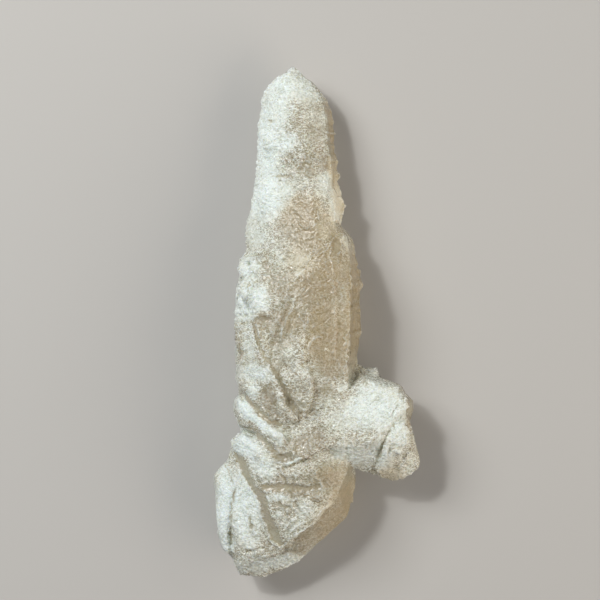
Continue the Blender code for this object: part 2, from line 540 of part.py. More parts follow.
def main():
    for thing in list(bpy.data.objects):
        bpy.data.objects.remove(thing, do_unlink=True)
    rng = random.Random(SEED)
    prism = stepped_crystal("prism", PRISM_SECTIONS, PRISM_ROOT, PRISM_STEP, PRISM_NOTCH, rng)
    growths = [
        stepped_crystal("point", POINT_SECTIONS, POINT_ROOT, POINT_STEP, POINT_NOTCH, rng, apex=POINT_APEX)
    ]
    for group in (LEFT_PLATES, FOOT, FRONT_PLATES, SIDE_CRYSTAL):
        growths += faceted_group(group)
    growths += [column(name, *places) for name, places in FLANK_CRYSTALS.items()]
    growths += shoulder_druse(rng)
    growths += [back_sheet(name, *shape) for name, shape in BACK_SHEETS.items()]

    stone = bpy.data.objects.new("quartz_floater", prism.data)
    bpy.context.scene.collection.objects.link(stone)
    stone.data.materials.append(quartz_material())
    boolean(stone, "growths", "UNION", growths)
    boolean(stone, "hollows", "DIFFERENCE", faceted_group(HOLLOWS))
    weld = stone.modifiers.new("slivers", "WELD")
    weld.merge_threshold = SLIVER_MM * MM


main()
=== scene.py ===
import math
import random
import bmesh
import bpy
import numpy as np
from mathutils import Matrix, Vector, noise


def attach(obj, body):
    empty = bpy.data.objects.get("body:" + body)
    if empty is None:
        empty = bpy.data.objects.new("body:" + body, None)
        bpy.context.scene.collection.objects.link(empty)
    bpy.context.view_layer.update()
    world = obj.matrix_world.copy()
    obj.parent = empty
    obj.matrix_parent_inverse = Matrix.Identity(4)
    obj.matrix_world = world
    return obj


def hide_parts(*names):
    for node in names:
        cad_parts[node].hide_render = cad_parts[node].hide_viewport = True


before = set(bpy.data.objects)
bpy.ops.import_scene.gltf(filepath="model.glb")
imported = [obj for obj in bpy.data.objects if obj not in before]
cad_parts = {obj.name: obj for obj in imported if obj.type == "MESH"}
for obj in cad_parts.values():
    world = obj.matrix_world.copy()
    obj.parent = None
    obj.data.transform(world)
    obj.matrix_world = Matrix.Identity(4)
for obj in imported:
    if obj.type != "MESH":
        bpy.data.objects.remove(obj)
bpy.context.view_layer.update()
mm = 0.001
scene = bpy.context.scene


# floor, lights and camera
studio = {
    "floorSize": 3.0,
    "floorColour": (0.46, 0.455, 0.44, 1.0),
    "floorRoughness": 0.85,
    "skyColour": (0.86, 0.90, 1.0, 1.0),
    "skyStrength": 0.16,
    "aim": (0.0, 0.0, 0.008),  # where every light points
    "lights": {  # place, size, power, colour
        "keyLight": ((-0.30, 0.24, 0.40), 0.24, 1.95, (1.0, 0.99, 0.965)),  # upper left of the view
        "fillLight": ((0.46, -0.26, 0.24), 0.50, 2.10, (1.0, 0.88, 0.76)),  # warm, from the lower right
        "sparkLight": ((-0.22, 0.20, 0.42), 0.04, 0.80, (1.0, 0.99, 0.965)),  # small, for crisp glints
        "sideLight": ((0.44, 0.16, 0.20), 0.30, 0.60, (1.0, 0.94, 0.82)),  # warm, from the right
    },
    "cameraHeight": 0.40,
    "viewCentre": (0.00056, 0.0041),
    "viewWidth": 0.1116,  # metres across the view at the stone's front
    "frontHeight": 0.010,
    "sensorWidth": 36.0,
}


def buildLight(name, place, size, power, colour):
    lamp = bpy.data.lights.new(name, "AREA")
    lamp.shape = "SQUARE"
    lamp.size = size
    lamp.energy = power
    lamp.color = colour
    holder = bpy.data.objects.new(name, lamp)
    holder.location = place
    holder.rotation_euler = (Vector(studio["aim"]) - Vector(place)).to_track_quat("-Z", "Y").to_euler()
    scene.collection.objects.link(holder)


def buildFloor():
    bm = bmesh.new()
    bmesh.ops.create_grid(bm, x_segments=1, y_segments=1, size=studio["floorSize"] / 2)
    mesh = bpy.data.meshes.new("floor")
    bm.to_mesh(mesh)
    bm.free()
    floor = bpy.data.objects.new("floor", mesh)
    scene.collection.objects.link(floor)
    paint = bpy.data.materials.new("floorPaint")
    paint.use_nodes = True
    shader = paint.node_tree.nodes["Principled BSDF"]
    shader.inputs["Base Color"].default_value = studio["floorColour"]
    shader.inputs["Roughness"].default_value = studio["floorRoughness"]
    mesh.materials.append(paint)


def buildSky():
    sky = bpy.data.worlds.new("sky")
    sky.use_nodes = True
    background = sky.node_tree.nodes["Background"]
    background.inputs["Color"].default_value = studio["skyColour"]
    background.inputs["Strength"].default_value = studio["skyStrength"]
    scene.world = sky
    scene.view_settings.view_transform = "Standard"


def buildCamera():
    lens = bpy.data.cameras.new("camera")
    camera = bpy.data.objects.new("camera", lens)
    scene.collection.objects.link(camera)
    scene.camera = camera
    x, y = studio["viewCentre"]
    camera.location = (x, y, studio["cameraHeight"])
    camera.rotation_euler = (0.0, 0.0, 0.0)
    distance = studio["cameraHeight"] - studio["frontHeight"]
    lens.sensor_width = studio["sensorWidth"]
    lens.lens = lens.sensor_width * distance / studio["viewWidth"]
    lens.clip_start = 0.01
    lens.clip_end = 10.0


buildFloor()
for name, settings in studio["lights"].items():
    buildLight(name, *settings)
buildSky()
buildCamera()
print("studio ready")


# the stone's body
body = {
    "voxel": 0.20 * mm,
    "softenRounds": 3,
    "roundingRounds": 22,  # long growth has rounded the front's edges
    "crownRounds": 110,  # and more so on the upper crystal
    "crownFrom": (2.0, 9.0),  # y where the crown's rounding starts and is full, in millimetres
    "warp": 0.16,  # how far the front's marks waver, in millimetres
    "warpSize": 1.0 * mm,
    "ragged": 0.32,  # and the bands' edges, on top of that
    "raggedSize": 0.8 * mm,
    "bandEdge": (-0.30, 0.14),  # across a band's border, from its floor to the plate
    "lip": 0.17 * mm,  # broken edge beside a band
    "lipPlace": 0.30,  # millimetres outside the border
    "lipWidth": 0.28,
    "bandFrost": 0.25,  # how white the bands are
    "swell": 0.17 * mm,  # the relief's kinds, from broad to fine
    "swellSize": 3.6 * mm,
    "terrace": 0.17 * mm,
    "terraceSize": 2.6 * mm,
    "terraceCount": 5.0,
    "chip": 0.20 * mm,
    "chipSize": 1.2 * mm,
    "edge": 0.17 * mm,
    "edgeSize": 1.5 * mm,
    "ridge": 0.13 * mm,
    "ridgeSize": 0.75 * mm,
    "grain": 0.085 * mm,
    "grainSize": 0.6 * mm,
    "tooth": 0.55 * mm,
    "toothLength": 1.5,  # millimetres
    "toothRest": 0.75,  # share of a tooth that is cut below the old edge
    "toothStart": (-24.0, -20.0),  # y where the teeth fade in
    "toothEnd": (40.0, 46.0),  # and out
    "leftEnd": (11.0, 14.0),  # the left edge is nearly smooth above this
    "sideSoftening": 0.35,
    "hollowDepth": 0.10 * mm,  # depths that get the full painted shade of the small and the broad hollows, and the full painted highlight on crests
    "deepDepth": 0.35 * mm,
    "triangles": 192000,
    "backShare": 0.35,  # triangles kept on the back, next to the front
    "seed": 11,
}

# frosted areas of the front (and clear ones, with a minus): x, y, half width, half height, turn, amount
frostBase = 0.30
frostPatches = [
    # upper crystal
    (2.6, 41.6, 3.0, 2.0, 0, 0.25),
    (3.2, 38.0, 3.2, 1.6, 0, 0.22),
    (2.6, 33.6, 3.2, 1.8, 0, 0.12),
    (5.0, 26.0, 1.5, 3.0, 0, 0.3),
    (0.5, 23.0, 1.1, 1.5, 0, -0.2),
    (-4.6, 38.0, 3.6, 10.0, 0, 0.45),
    (-1.0, 45.0, 4.4, 3.2, 0, 0.35),
    (-0.8, 36.4, 1.6, 1.8, 0, -0.2),
    (-6.3, 27.0, 2.6, 11.0, 0, 0.45),
    (-3.4, 24.0, 3.0, 3.6, 0, 0.35),
    (-1.6, 33.4, 1.8, 1.6, 0, 0.3),
    (2.4, 43.0, 2.0, 1.2, -40, 0.2),
    (6.3, 37.5, 0.8, 4.5, 8, -0.25),
    (6.5, 33.5, 0.9, 3.0, 0, -0.35),
    (5.0, 29.3, 0.8, 1.7, 0, -0.45),
    (1.6, 29.0, 1.2, 2.2, 0, -0.45),
    (-1.2, 30.3, 1.2, 0.7, 0, -0.3),
    (1.8, 27.8, 1.6, 0.8, 0, -0.3),
    (7.4, 22.0, 1.4, 4.5, 0, 0.4),
    (3.4, 37.0, 2.6, 8.0, 0, -0.12),
    # middle
    (0.2, -9.6, 2.4, 3.0, 0, 0.1),
    (-1.2, -5.0, 1.4, 1.2, 0, 0.2),
    (6.6, 16.4, 2.4, 1.5, 0, 0.15),
    (-4.0, 12.0, 1.6, 1.6, 0, 0.25),
    (-6.2, 19.0, 2.2, 2.6, 0, -0.35),
    (2.0, 13.5, 2.0, 1.5, 0, -0.2),
    (-1.0, 2.0, 1.5, 1.0, 0, -0.2),
    (-10.0, -1.5, 1.6, 2.0, 0, -0.3),
    (-2.5, -3.5, 1.6, 1.0, 0, -0.2),
    (-7.6, 19.0, 2.6, 6.0, 0, 0.25),
    (-5.4, 21.0, 2.4, 3.0, 0, 0.3),
    (-1.0, 18.2, 2.4, 2.6, 0, -0.5),
    (2.2, 19.6, 1.8, 2.2, 0, -0.35),
    (2.0, 15.6, 3.2, 1.4, 0, -0.2),
    (6.0, 20.6, 1.6, 3.0, 0, 0.15),
    (4.2, 12.4, 2.2, 1.5, 0, -0.35),
    (7.2, 14.6, 1.0, 1.6, 20, -0.35),
    (8.9, 14.4, 1.2, 2.0, 0, 0.2),
    (-4.9, 11.4, 1.2, 1.8, 0, -0.3),
    (1.0, 11.6, 3.6, 1.2, 20, 0.22),
    (0.4, 8.9, 1.0, 1.0, 45, 0.3),
    (-2.0, 6.4, 4.0, 3.2, 0, -0.25),
    (-2.6, -1.4, 2.4, 3.6, 15, -0.35),
    (7.0, 8.0, 3.6, 6.0, 0, -0.3),
    (2.6, 6.6, 2.6, 3.0, 0, -0.35),
    (1.6, 1.4, 4.6, 3.0, 0, -0.3),
    (10.8, 4.0, 1.3, 8.0, 0, -0.5),
    (-8.8, 10.2, 2.4, 2.4, 0, 0.45),
    (-9.0, 4.6, 3.4, 3.6, 0, 0.45),
    (-6.0, 4.4, 1.8, 2.2, 0, 0.4),
    (-6.0, 0.0, 1.8, 1.4, 0, -0.5),
    (-10.4, 1.0, 2.0, 4.0, 0, 0.25),
    (-9.0, -3.0, 1.4, 4.0, 10, 0.3),
    (-10.6, -5.0, 0.5, 2.0, 10, -0.4),
    (6.6, -4.0, 4.4, 5.0, 0, -0.4),
    (6.8, -8.6, 2.6, 1.6, 0, -0.35),
    (5.6, -5.2, 0.9, 0.8, 0, 0.3),
    (7.0, 1.5, 0.3, 7.5, -2, 0.16),
    (9.6, 0.0, 0.25, 9.0, 0, 0.12),
    (4.6, 12.4, 2.6, 0.5, 38, 0.16),
    (0.4, 8.6, 2.2, 0.5, 40, 0.2),
    (1.0, 19.0, 3.0, 3.5, 0, -0.1),
    (5.8, 20.0, 1.2, 3.5, 0, -0.15),
    (7.4, 16.6, 1.6, 1.6, 0, -0.25),
    (-0.8, 3.8, 0.35, 2.4, -18, 0.3),
    (-2.4, -0.4, 0.3, 3.0, -18, 0.2),
    (-4.2, -1.2, 0.7, 2.8, -14, -0.2),
    (3.0, 0.2, 2.4, 0.4, 30, 0.1),
    (5.0, 5.6, 1.8, 0.4, -30, 0.1),
    (-8.2, -9.2, 2.6, 1.8, 0, 0.45),
    (-5.4, -9.4, 1.6, 1.6, 0, 0.3),
    # long groove, plates and the root of the side crystal
    (-2.6, -14.0, 1.8, 1.8, 0, 0.3),
    (4.5, -19.0, 2.2, 1.0, 0, -0.15),
    (-6.5, -24.6, 2.0, 1.4, 0, -0.3),
    (5.0, -12.4, 1.8, 1.2, 0, -0.25),
    (-0.4, -14.4, 3.6, 3.0, 0, -0.15),
    (-5.0, -15.0, 4.0, 2.0, 40, -0.1),
    (-7.0, -19.0, 4.5, 2.4, 45, -0.1),
    (-1.0, -11.0, 3.0, 3.0, 0, -0.08),
    (-1.5, -14.4, 0.9, 1.5, 25, -0.9),
    (-8.2, -12.6, 1.4, 1.4, 0, 0.4),
    (-4.9, -14.6, 1.1, 3.4, 12, -0.5),
    (-9.4, -16.2, 1.2, 3.2, 46, 0.8),
    (-6.4, -18.6, 1.0, 2.6, 50, 0.8),
    (-3.4, -21.0, 1.3, 1.6, 0, 0.6),
    (-9.8, -22.4, 2.2, 2.2, 0, 0.85),
    (-6.6, -25.4, 2.2, 3.4, 30, 0.65),
    (-2.4, -24.7, 2.0, 0.8, 0, -0.6),
    (1.4, -22.3, 3.5, 1.8, 15, -0.4),
    (-1.2, -25.7, 1.4, 0.4, 25, 0.8),
    # foot
    (-2.0, -44.0, 5.0, 1.4, 8, 0.3),
    (-12.6, -41.4, 1.2, 1.6, 0, 0.5),
    (-7.8, -31.8, 1.0, 1.0, 0, 0.3),
    (-8.5, -37.2, 1.0, 2.8, 0, -0.4),
    (-12.0, -35.6, 1.0, 1.5, 0, -0.2),
    (-14.6, -29.2, 1.0, 1.2, 0, -0.25),
    (3.4, -31.6, 1.6, 1.0, 0, -0.15),
    (6.0, -28.2, 3.0, 2.4, 0, -0.12),
    (0.3, -38.9, 2.6, 0.35, 34, 0.45),
    (3.4, -36.4, 1.6, 0.35, 55, 0.45),
    (5.4, -34.0, 1.4, 0.35, 40, 0.4),
    (4.4, -29.0, 3.4, 3.6, 0, -0.25),
    (0.6, -30.6, 5.6, 1.0, 0, -0.4),
    (-3.2, -32.2, 2.2, 0.8, 0, 0.5),
    (-2.4, -33.8, 1.8, 0.4, 0, -0.3),
    (1.8, -34.2, 1.8, 1.6, 0, 0.25),
    (-0.4, -37.4, 2.8, 1.5, 30, 0.25),
    (-3.2, -35.6, 1.2, 1.0, 0, 0.3),
    (8.6, -29.0, 1.8, 4.0, 0, -0.45),
    (4.6, -39.0, 8.0, 2.6, 40, -0.6),
    (-1.4, -44.6, 3.2, 1.4, 0, 0.4),
    (-8.0, -45.4, 4.0, 1.8, 0, 0.3),
    (-9.8, -34.6, 2.8, 7.0, 10, 0.75),
    (-13.8, -33.6, 1.6, 8.0, 0, 0.8),
    # side crystal and the stub behind it
    (15.6, -24.0, 2.0, 3.0, 0, 0.4),
    (9.6, -13.0, 2.0, 1.0, 0, -0.2),
    (8.6, -12.0, 1.6, 0.8, 15, 0.3),
    (14.6, -15.4, 5.4, 4.4, 0, 0.75),
    (8.4, -18.0, 4.0, 2.6, 0, 0.3),
    (10.6, -24.4, 5.0, 2.4, 0, 0.4),
    (15.3, -24.4, 0.9, 3.2, -14, -0.3),
    (20.9, -16.2, 0.6, 3.0, 0, -0.5),
    (18.6, -26.6, 2.8, 1.6, 20, -0.15),
    (18.6, -20.8, 1.8, 2.6, 0, 0.55),
    (18.8, -26.4, 3.4, 2.6, 0, 0.3),
    (13.8, -9.6, 1.2, 1.0, 0, 0.2),
]

# warm, smoky areas, written in the same way
smokePatches = [
    (4.0, 12.0, 7.0, 12.0, 0, 0.75),
    (1.0, 20.0, 4.5, 4.5, 0, 0.85),
    (5.6, -1.5, 6.0, 8.0, 0, 0.75),
    (11.0, 4.0, 2.6, 14.0, 0, 1.0),
    (7.6, 26.0, 1.6, 8.0, 6, 1.0),
    (6.8, 36.0, 0.9, 5.0, 8, 0.9),
    (-0.5, 0.5, 2.6, 3.0, 10, 0.6),
    (3.8, -3.4, 1.6, 1.2, 0, 1.0),
    (8.0, -35.0, 4.5, 8.0, -30, 0.9),
    (2.0, -39.5, 3.0, 2.0, 30, 0.5),
    (7.0, -28.0, 4.0, 3.0, 0, 0.6),
    (17.5, -28.5, 4.0, 2.0, 0, 0.7),
    (18.6, -26.4, 3.0, 2.0, 20, 0.45),
    (20.9, -16.2, 0.6, 3.0, 0, 0.4),
]

# pulls on the outline, as with a grab brush: x, y, radius, push in x, push in y
grabs = [
    # small crystal on the left shoulder
    (-12.2, 8.6, 1.5, 1.25, 0.0),
    # point
    (-4.6, 45.6, 2.2, -0.22, 0.18),
    (-6.6, 42.6, 2.4, -0.25, 0.05),
    (2.6, 45.0, 2.2, 0.20, 0.18),
    (5.4, 42.0, 2.4, 0.28, 0.14),
    (6.9, 38.6, 1.8, 0.25, 0.0),
    # upper crystal's right edge
    (7.5, 34.6, 1.2, 0.35, 0.0),
    (7.2, 31.3, 0.9, -0.25, 0.0),
    (8.0, 28.4, 0.5, -0.30, 0.0),
    (8.2, 26.2, 1.3, -0.50, 0.0),
    (8.0, 24.4, 1.0, -0.35, 0.0),
    (9.2, 21.6, 0.9, 0.20, 0.0),
    (8.8, 18.6, 1.0, -0.30, 0.0),
    # prism's shoulders
    (10.6, 14.8, 1.2, 0.25, 0.1),
    (-9.6, 17.0, 3.4, -0.28, 0.0),
    # single teeth on the right edge
    (7.5, 28.3, 0.7, -0.25, 0.0),
    (7.9, 29.5, 0.8, 0.20, 0.0),
    (7.6, 26.2, 0.6, -0.20, 0.0),
    # outer plate and the foot's end
    (-15.2, -31.0, 3.0, -0.35, 0.0),
    (-14.8, -36.6, 3.4, -0.45, 0.0),
    (-14.2, -41.4, 2.6, -0.45, -0.2),
    (-11.0, -46.4, 2.4, -0.2, -0.3),
    # side crystal, tip, foot and a tooth on the prism
    (15.0, -28.6, 1.2, 0.0, -0.35),
    (21.0, -15.2, 2.2, 0.55, 0.0),
    (-0.4, 47.2, 1.6, 0.0, 0.2),
    (-7.4, -47.0, 3.0, 0.0, -0.45),
    (12.0, -2.0, 1.0, 0.20, 0.0),
]

# the front's own forms, in millimetres: kind, half width, depth, route
frontMarks = [
    # upper crystal: ledge, shallow grooves and small feathers
    ("rib", 0.30, 0.16, [(-4.4, 26.5), (-2.8, 26.6), (-1.2, 26.45)]),
    ("ledge", 0.50, 0.34, [(1.9, 29.9), (1.8, 31.2), (1.4, 32.5), (0.8, 33.6), (0.1, 34.8)]),
    ("rib", 0.20, 0.36, [(4.7, 31.7), (5.5, 31.7), (6.1, 31.6)]),
    ("rib", 0.20, 0.36, [(4.8, 31.4), (5.8, 31.1), (6.8, 30.8)]),
    ("groove", 0.35, 0.22, [(-2.6, 30.2), (-1.4, 30.4), (-0.6, 30.0)]),
    ("groove", 0.30, 0.22, [(2.2, 30.7), (4.0, 30.5), (6.0, 30.3)]),
    ("groove", 0.30, 0.22, [(3.6, 28.9), (5.0, 28.8), (6.2, 29.0)]),
    ("rib", 0.14, 0.16, [(3.9, 27.3), (4.6, 26.6), (5.2, 25.7)]),
    ("rib", 0.14, 0.16, [(4.5, 27.5), (5.2, 26.8), (5.8, 26.0)]),
    # middle: feathers and veins
    ("rib", 0.16, 0.22, [(1.5, 16.9), (2.4, 17.6), (3.3, 18.4)]),
    ("rib", 0.16, 0.20, [(2.2, 16.8), (3.0, 17.5), (3.9, 18.3)]),
    ("rib", 0.16, 0.22, [(3.9, 20.6), (3.95, 19.5), (4.0, 18.5)]),
    ("rib", 0.16, 0.20, [(0.4, 18.4), (0.9, 17.6), (1.7, 17.3)]),
    ("rib", 0.22, 0.26, [(-0.8, 7.2), (0.2, 8.4), (1.1, 9.4), (1.7, 10.0)]),
    ("rib", 0.20, 0.32, [(3.2, 11.9), (4.4, 12.6), (5.6, 13.5), (6.4, 15.0), (7.2, 16.1)]),
    ("rib", 0.18, 0.24, [(8.1, 12.3), (9.1, 13.1), (9.8, 14.8)]),
    ("rib", 0.16, 0.18, [(8.0, 13.9), (8.8, 14.6), (9.6, 15.6)]),
    ("rib", 0.18, 0.22, [(6.2, 12.1), (6.5, 10.8), (6.7, 9.4), (6.8, 8.3)]),
    ("rib", 0.18, 0.24, [(4.4, 5.0), (5.3, 4.6), (5.7, 3.8)]),
    ("groove", 0.45, 0.26, [(-4.0, -4.2), (-3.6, -2.0), (-2.6, 0.6), (-1.4, 2.6), (-0.9, 4.6)]),
    ("rib", 0.30, 0.28, [(-3.2, -4.0), (-2.8, -1.8), (-1.8, 0.8), (-0.7, 2.8), (-0.2, 4.8)]),
    ("groove", 0.35, 0.22, [(-2.2, -3.4), (-1.2, -0.6), (0.2, 1.8)]),
    ("rib", 0.22, 0.26, [(1.9, -5.4), (2.5, -3.6), (3.8, -2.5), (5.0, -3.0)]),
    ("rib", 0.20, 0.24, [(1.0, -1.4), (2.1, 0.2), (2.0, 1.6)]),
    ("ledge", 0.30, 0.22, [(6.9, -6.0), (7.2, -1.0), (7.1, 4.0), (6.8, 8.4)]),
    ("groove", 0.90, 0.45, [(-6.4, 12.3), (-6.2, 10.2), (-5.6, 8.4)]),
    ("groove", 0.50, 0.35, [(-11.0, -2.6), (-10.6, -5.0), (-9.9, -7.2)]),
    # beside the long groove
    ("rib", 0.26, 0.36, [(-5.2, -7.0), (-4.2, -8.7), (-3.1, -10.6)]),
    ("ledge", 0.30, 0.30, [(1.0, -7.2), (1.4, -6.0), (1.0, -4.6), (0.1, -3.2)]),
    ("ledge", 0.30, 0.34, [(2.5, -13.8), (2.9, -11.5), (2.6, -9.3), (1.9, -7.7)]),
    ("rib", 0.14, 0.14, [(0.3, -4.2), (0.9, -5.3), (0.9, -6.8)]),
    ("rib", 0.14, 0.14, [(0.8, -3.9), (1.4, -5.2), (1.4, -6.6)]),
    # folds of the leaning plates
    ("rib", 1.20, 0.45, [(-11.6, -14.8), (-9.6, -16.3), (-7.6, -17.9), (-5.6, -19.8), (-3.4, -21.4)]),
    ("rib", 0.90, 0.40, [(-11.4, -22.2), (-9.6, -22.0), (-7.6, -23.4), (-5.6, -26.0)]),
    ("rib", 0.26, 0.36, [(-3.0, -26.1), (-1.3, -25.9), (0.1, -25.2), (1.4, -24.4)]),
    # the foot's terraces
    ("rib", 0.80, 0.32, [(-6.6, -27.6), (-3.4, -27.8), (0.4, -27.5), (4.2, -27.3)]),
    ("groove", 0.90, 0.25, [(-6.2, -30.1), (-2.0, -30.1), (1.6, -30.9), (4.6, -30.2)]),
    ("rib", 0.70, 0.36, [(-5.4, -32.2), (-3.2, -32.1), (-1.2, -32.0)]),
    ("rib", 0.60, 0.28, [(-3.9, -35.5), (-2.2, -35.2)]),
    ("groove", 0.22, 0.30, [(-0.6, -32.4), (0.1, -33.8), (1.2, -35.6)]),
    ("rib", 0.30, 0.38, [(-2.8, -38.6), (-1.4, -36.8), (0.2, -35.8)]),
    ("rib", 0.30, 0.38, [(-1.8, -39.2), (0.2, -37.4), (2.0, -36.4)]),
    ("rib", 0.22, 0.40, [(-1.4, -39.9), (0.8, -38.6), (2.6, -37.4),
                         (3.6, -36.0), (4.4, -34.6), (6.2, -33.5)]),
    ("ledge", 0.50, 0.50, [(-2.2, -40.6), (0.8, -39.0), (3.0, -37.4), (4.0, -36.0),
                           (4.8, -34.6), (6.6, -33.2)]),
    # the lower plate's foot
    ("ledge", 0.30, 0.45, [(-9.9, -42.4), (-7.6, -42.0), (-5.8, -41.5), (-4.9, -40.2)]),
    ("rib", 0.22, 0.32, [(-7.6, -43.8), (-4.8, -43.1), (-2.2, -42.3)]),
    ("rib", 0.20, 0.26, [(-5.4, -39.8), (-4.2, -41.0), (-3.0, -42.2)]),
    # side crystal
    ("groove", 0.20, 0.32, [(18.9, -14.9), (17.9, -16.2), (17.2, -17.5)]),
    ("rib", 0.18, 0.18, [(18.4, -15.0), (17.5, -16.2), (16.8, -17.6)]),
    ("groove", 0.34, 0.45, [(19.4, -17.1), (18.2, -18.2), (17.3, -19.3), (16.4, -20.9), (15.6, -22.6),
                            (14.9, -25.4), (14.3, -27.6)]),
    ("rib", 0.20, 0.32, [(15.1, -20.5), (13.9, -21.2), (13.1, -22.1), (12.9, -23.6)]),
    ("ledge", 0.30, 0.30, [(21.8, -24.6), (20.6, -23.8), (18.6, -23.7), (16.6, -24.0)]),
    ("rib", 0.20, 0.22, [(20.6, -24.2), (19.9, -26.2), (19.0, -28.6)]),
    ("rib", 0.16, 0.22, [(20.1, -13.1), (19.95, -15.0), (20.0, -16.6)]),
    ("rib", 0.35, 0.16, [(8.7, -20.4), (8.6, -23.0), (8.4, -25.6)]),
    ("rib", 0.35, 0.16, [(10.1, -20.6), (10.0, -23.2), (9.8, -26.2)]),
    ("rib", 0.30, 0.14, [(11.5, -20.8), (11.4, -23.2), (11.3, -26.6)]),
]

# smooth bands between the plates: recess, how amber, route of x, y and half width
bands = [
    # the long groove beside the first plate
    (0.36, 0.35, [(-8.0, 0.0, 0.25), (-7.3, -2.9, 0.35), (-6.3, -5.6, 0.40), (-5.0, -7.4, 0.40),
                  (-3.2, -10.2, 0.40), (-2.4, -11.8, 0.45), (-1.5, -14.0, 0.55), (-0.5, -15.8, 0.35)]),
    (0.20, 0.45, [(-11.9, -12.5, 0.30), (-10.7, -12.1, 0.40), (-8.5, -14.8, 0.45), (-6.5, -16.9, 0.45),
                  (-4.8, -18.2, 0.45), (-2.6, -18.7, 0.35)]),
    (0.20, 0.10, [(-10.9, -18.8, 0.30), (-9.0, -19.8, 0.40), (-7.2, -20.6, 0.50), (-5.9, -21.8, 0.60),
                  (-4.8, -23.0, 0.60), (-3.9, -23.9, 0.40)]),
    (0.12, 0.00, [(-3.8, -24.6, 0.50), (-2.4, -24.9, 0.70), (-1.2, -24.2, 0.40)]),
    # between the wide plate, the lower plate and the foot
    (0.22, 0.35, [(-11.4, -24.4, 0.35), (-10.1, -26.0, 0.85), (-9.4, -28.0, 0.80), (-8.4, -30.0, 0.65),
                  (-6.6, -32.0, 0.75), (-6.0, -34.0, 0.85), (-5.4, -36.0, 0.85), (-4.7, -38.0, 0.85),
                  (-3.7, -40.0, 0.85), (-2.9, -41.0, 0.60)]),
    # on the upper crystal: slit, hairline, pits
    (0.35, 0.10, [(-4.6, 26.95, 0.10), (-3.4, 27.10, 0.22), (-1.6, 27.0, 0.20), (-0.4, 26.6, 0.08)]),
    (0.30, 0.10, [(0.1, 34.8, 0.08), (0.8, 33.6, 0.13), (1.4, 32.5, 0.13),
                  (1.8, 31.2, 0.12), (1.9, 30.0, 0.08)]),
    (0.20, 0.00, [(-5.4, 37.7, 0.22), (-4.9, 37.5, 0.30)]),
    (0.15, 0.00, [(-5.4, 36.7, 0.15), (-5.2, 36.6, 0.15)]),
    (0.20, 0.15, [(0.5, 29.3, 0.20), (1.5, 29.0, 0.36), (2.5, 29.2, 0.20)]),
    # on the prism: pits and a smooth lens
    (0.20, 0.00, [(-8.7, 7.2, 0.12), (-9.1, 6.4, 0.25), (-8.8, 5.4, 0.12)]),
    (0.05, 0.10, [(-7.6, 0.4, 0.40), (-6.2, 0.2, 0.60), (-5.2, 0.8, 0.35)]),
    (0.18, 0.60, [(6.7, 12.4, 0.35), (7.4, 13.8, 0.75), (7.6, 15.0, 0.45)]),
    # creases between the lower and outer plates
    (0.20, 0.10, [(-13.6, -26.3, 0.12), (-12.9, -27.6, 0.15), (-12.2, -29.0, 0.15), (-11.9, -29.9, 0.12)]),
    (0.10, 0.10, [(-11.5, -30.9, 0.25), (-11.4, -31.5, 0.40), (-12.0, -33.5, 0.25), (-12.2, -35.4, 0.30),
                  (-12.3, -37.2, 0.15), (-12.3, -38.4, 0.15), (-12.4, -39.6, 0.32), (-12.3, -41.4, 0.18)]),
    (0.12, 0.30, [(-11.6, -42.5, 0.15), (-11.2, -43.6, 0.25)]),
    (0.08, 0.00, [(-8.7, -35.8, 0.12), (-8.4, -38.0, 0.28)]),
    # across the foot
    (0.04, 0.45, [(-6.4, -30.3, 0.40), (-4.0, -30.4, 0.70), (-1.5, -30.3, 0.65),
                  (1.5, -30.6, 0.50), (4.0, -30.0, 0.35)]),
    (0.04, 0.10, [(-4.6, -33.5, 0.30), (-3.0, -33.6, 0.35), (-1.4, -33.8, 0.25)]),
    (0.18, 0.30, [(-3.4, -26.9, 0.12), (-2.4, -28.6, 0.22), (-1.6, -30.6, 0.25), (-0.7, -32.2, 0.15)]),
]

# how the gaps under the bands, and the hollows below, are filled before the forms are drawn
filling = {
    "rounds": 100,
    "core": 0.2,  # full to this far outside a band, in millimetres
    "reach": 1.3,  # none from here on
    "bandHeight": (4.0, 6.5),  # z where the bands' filling fades in
    "spotHeight": (3.0, 4.0),
    "evening": 0.6,
    "lift": 0.4,
}
# hollows to fill too: x, y, radius
fillSpots = [
    (-8.8, 9.2, 1.4),
    (-10.0, 4.2, 1.6),
    (7.5, 17.2, 1.2),
    (-1.5, -22.1, 1.0),
    (4.0, -24.9, 1.8),
    (15.0, -25.8, 1.8),
    (-12.4, -39.6, 1.0),
]

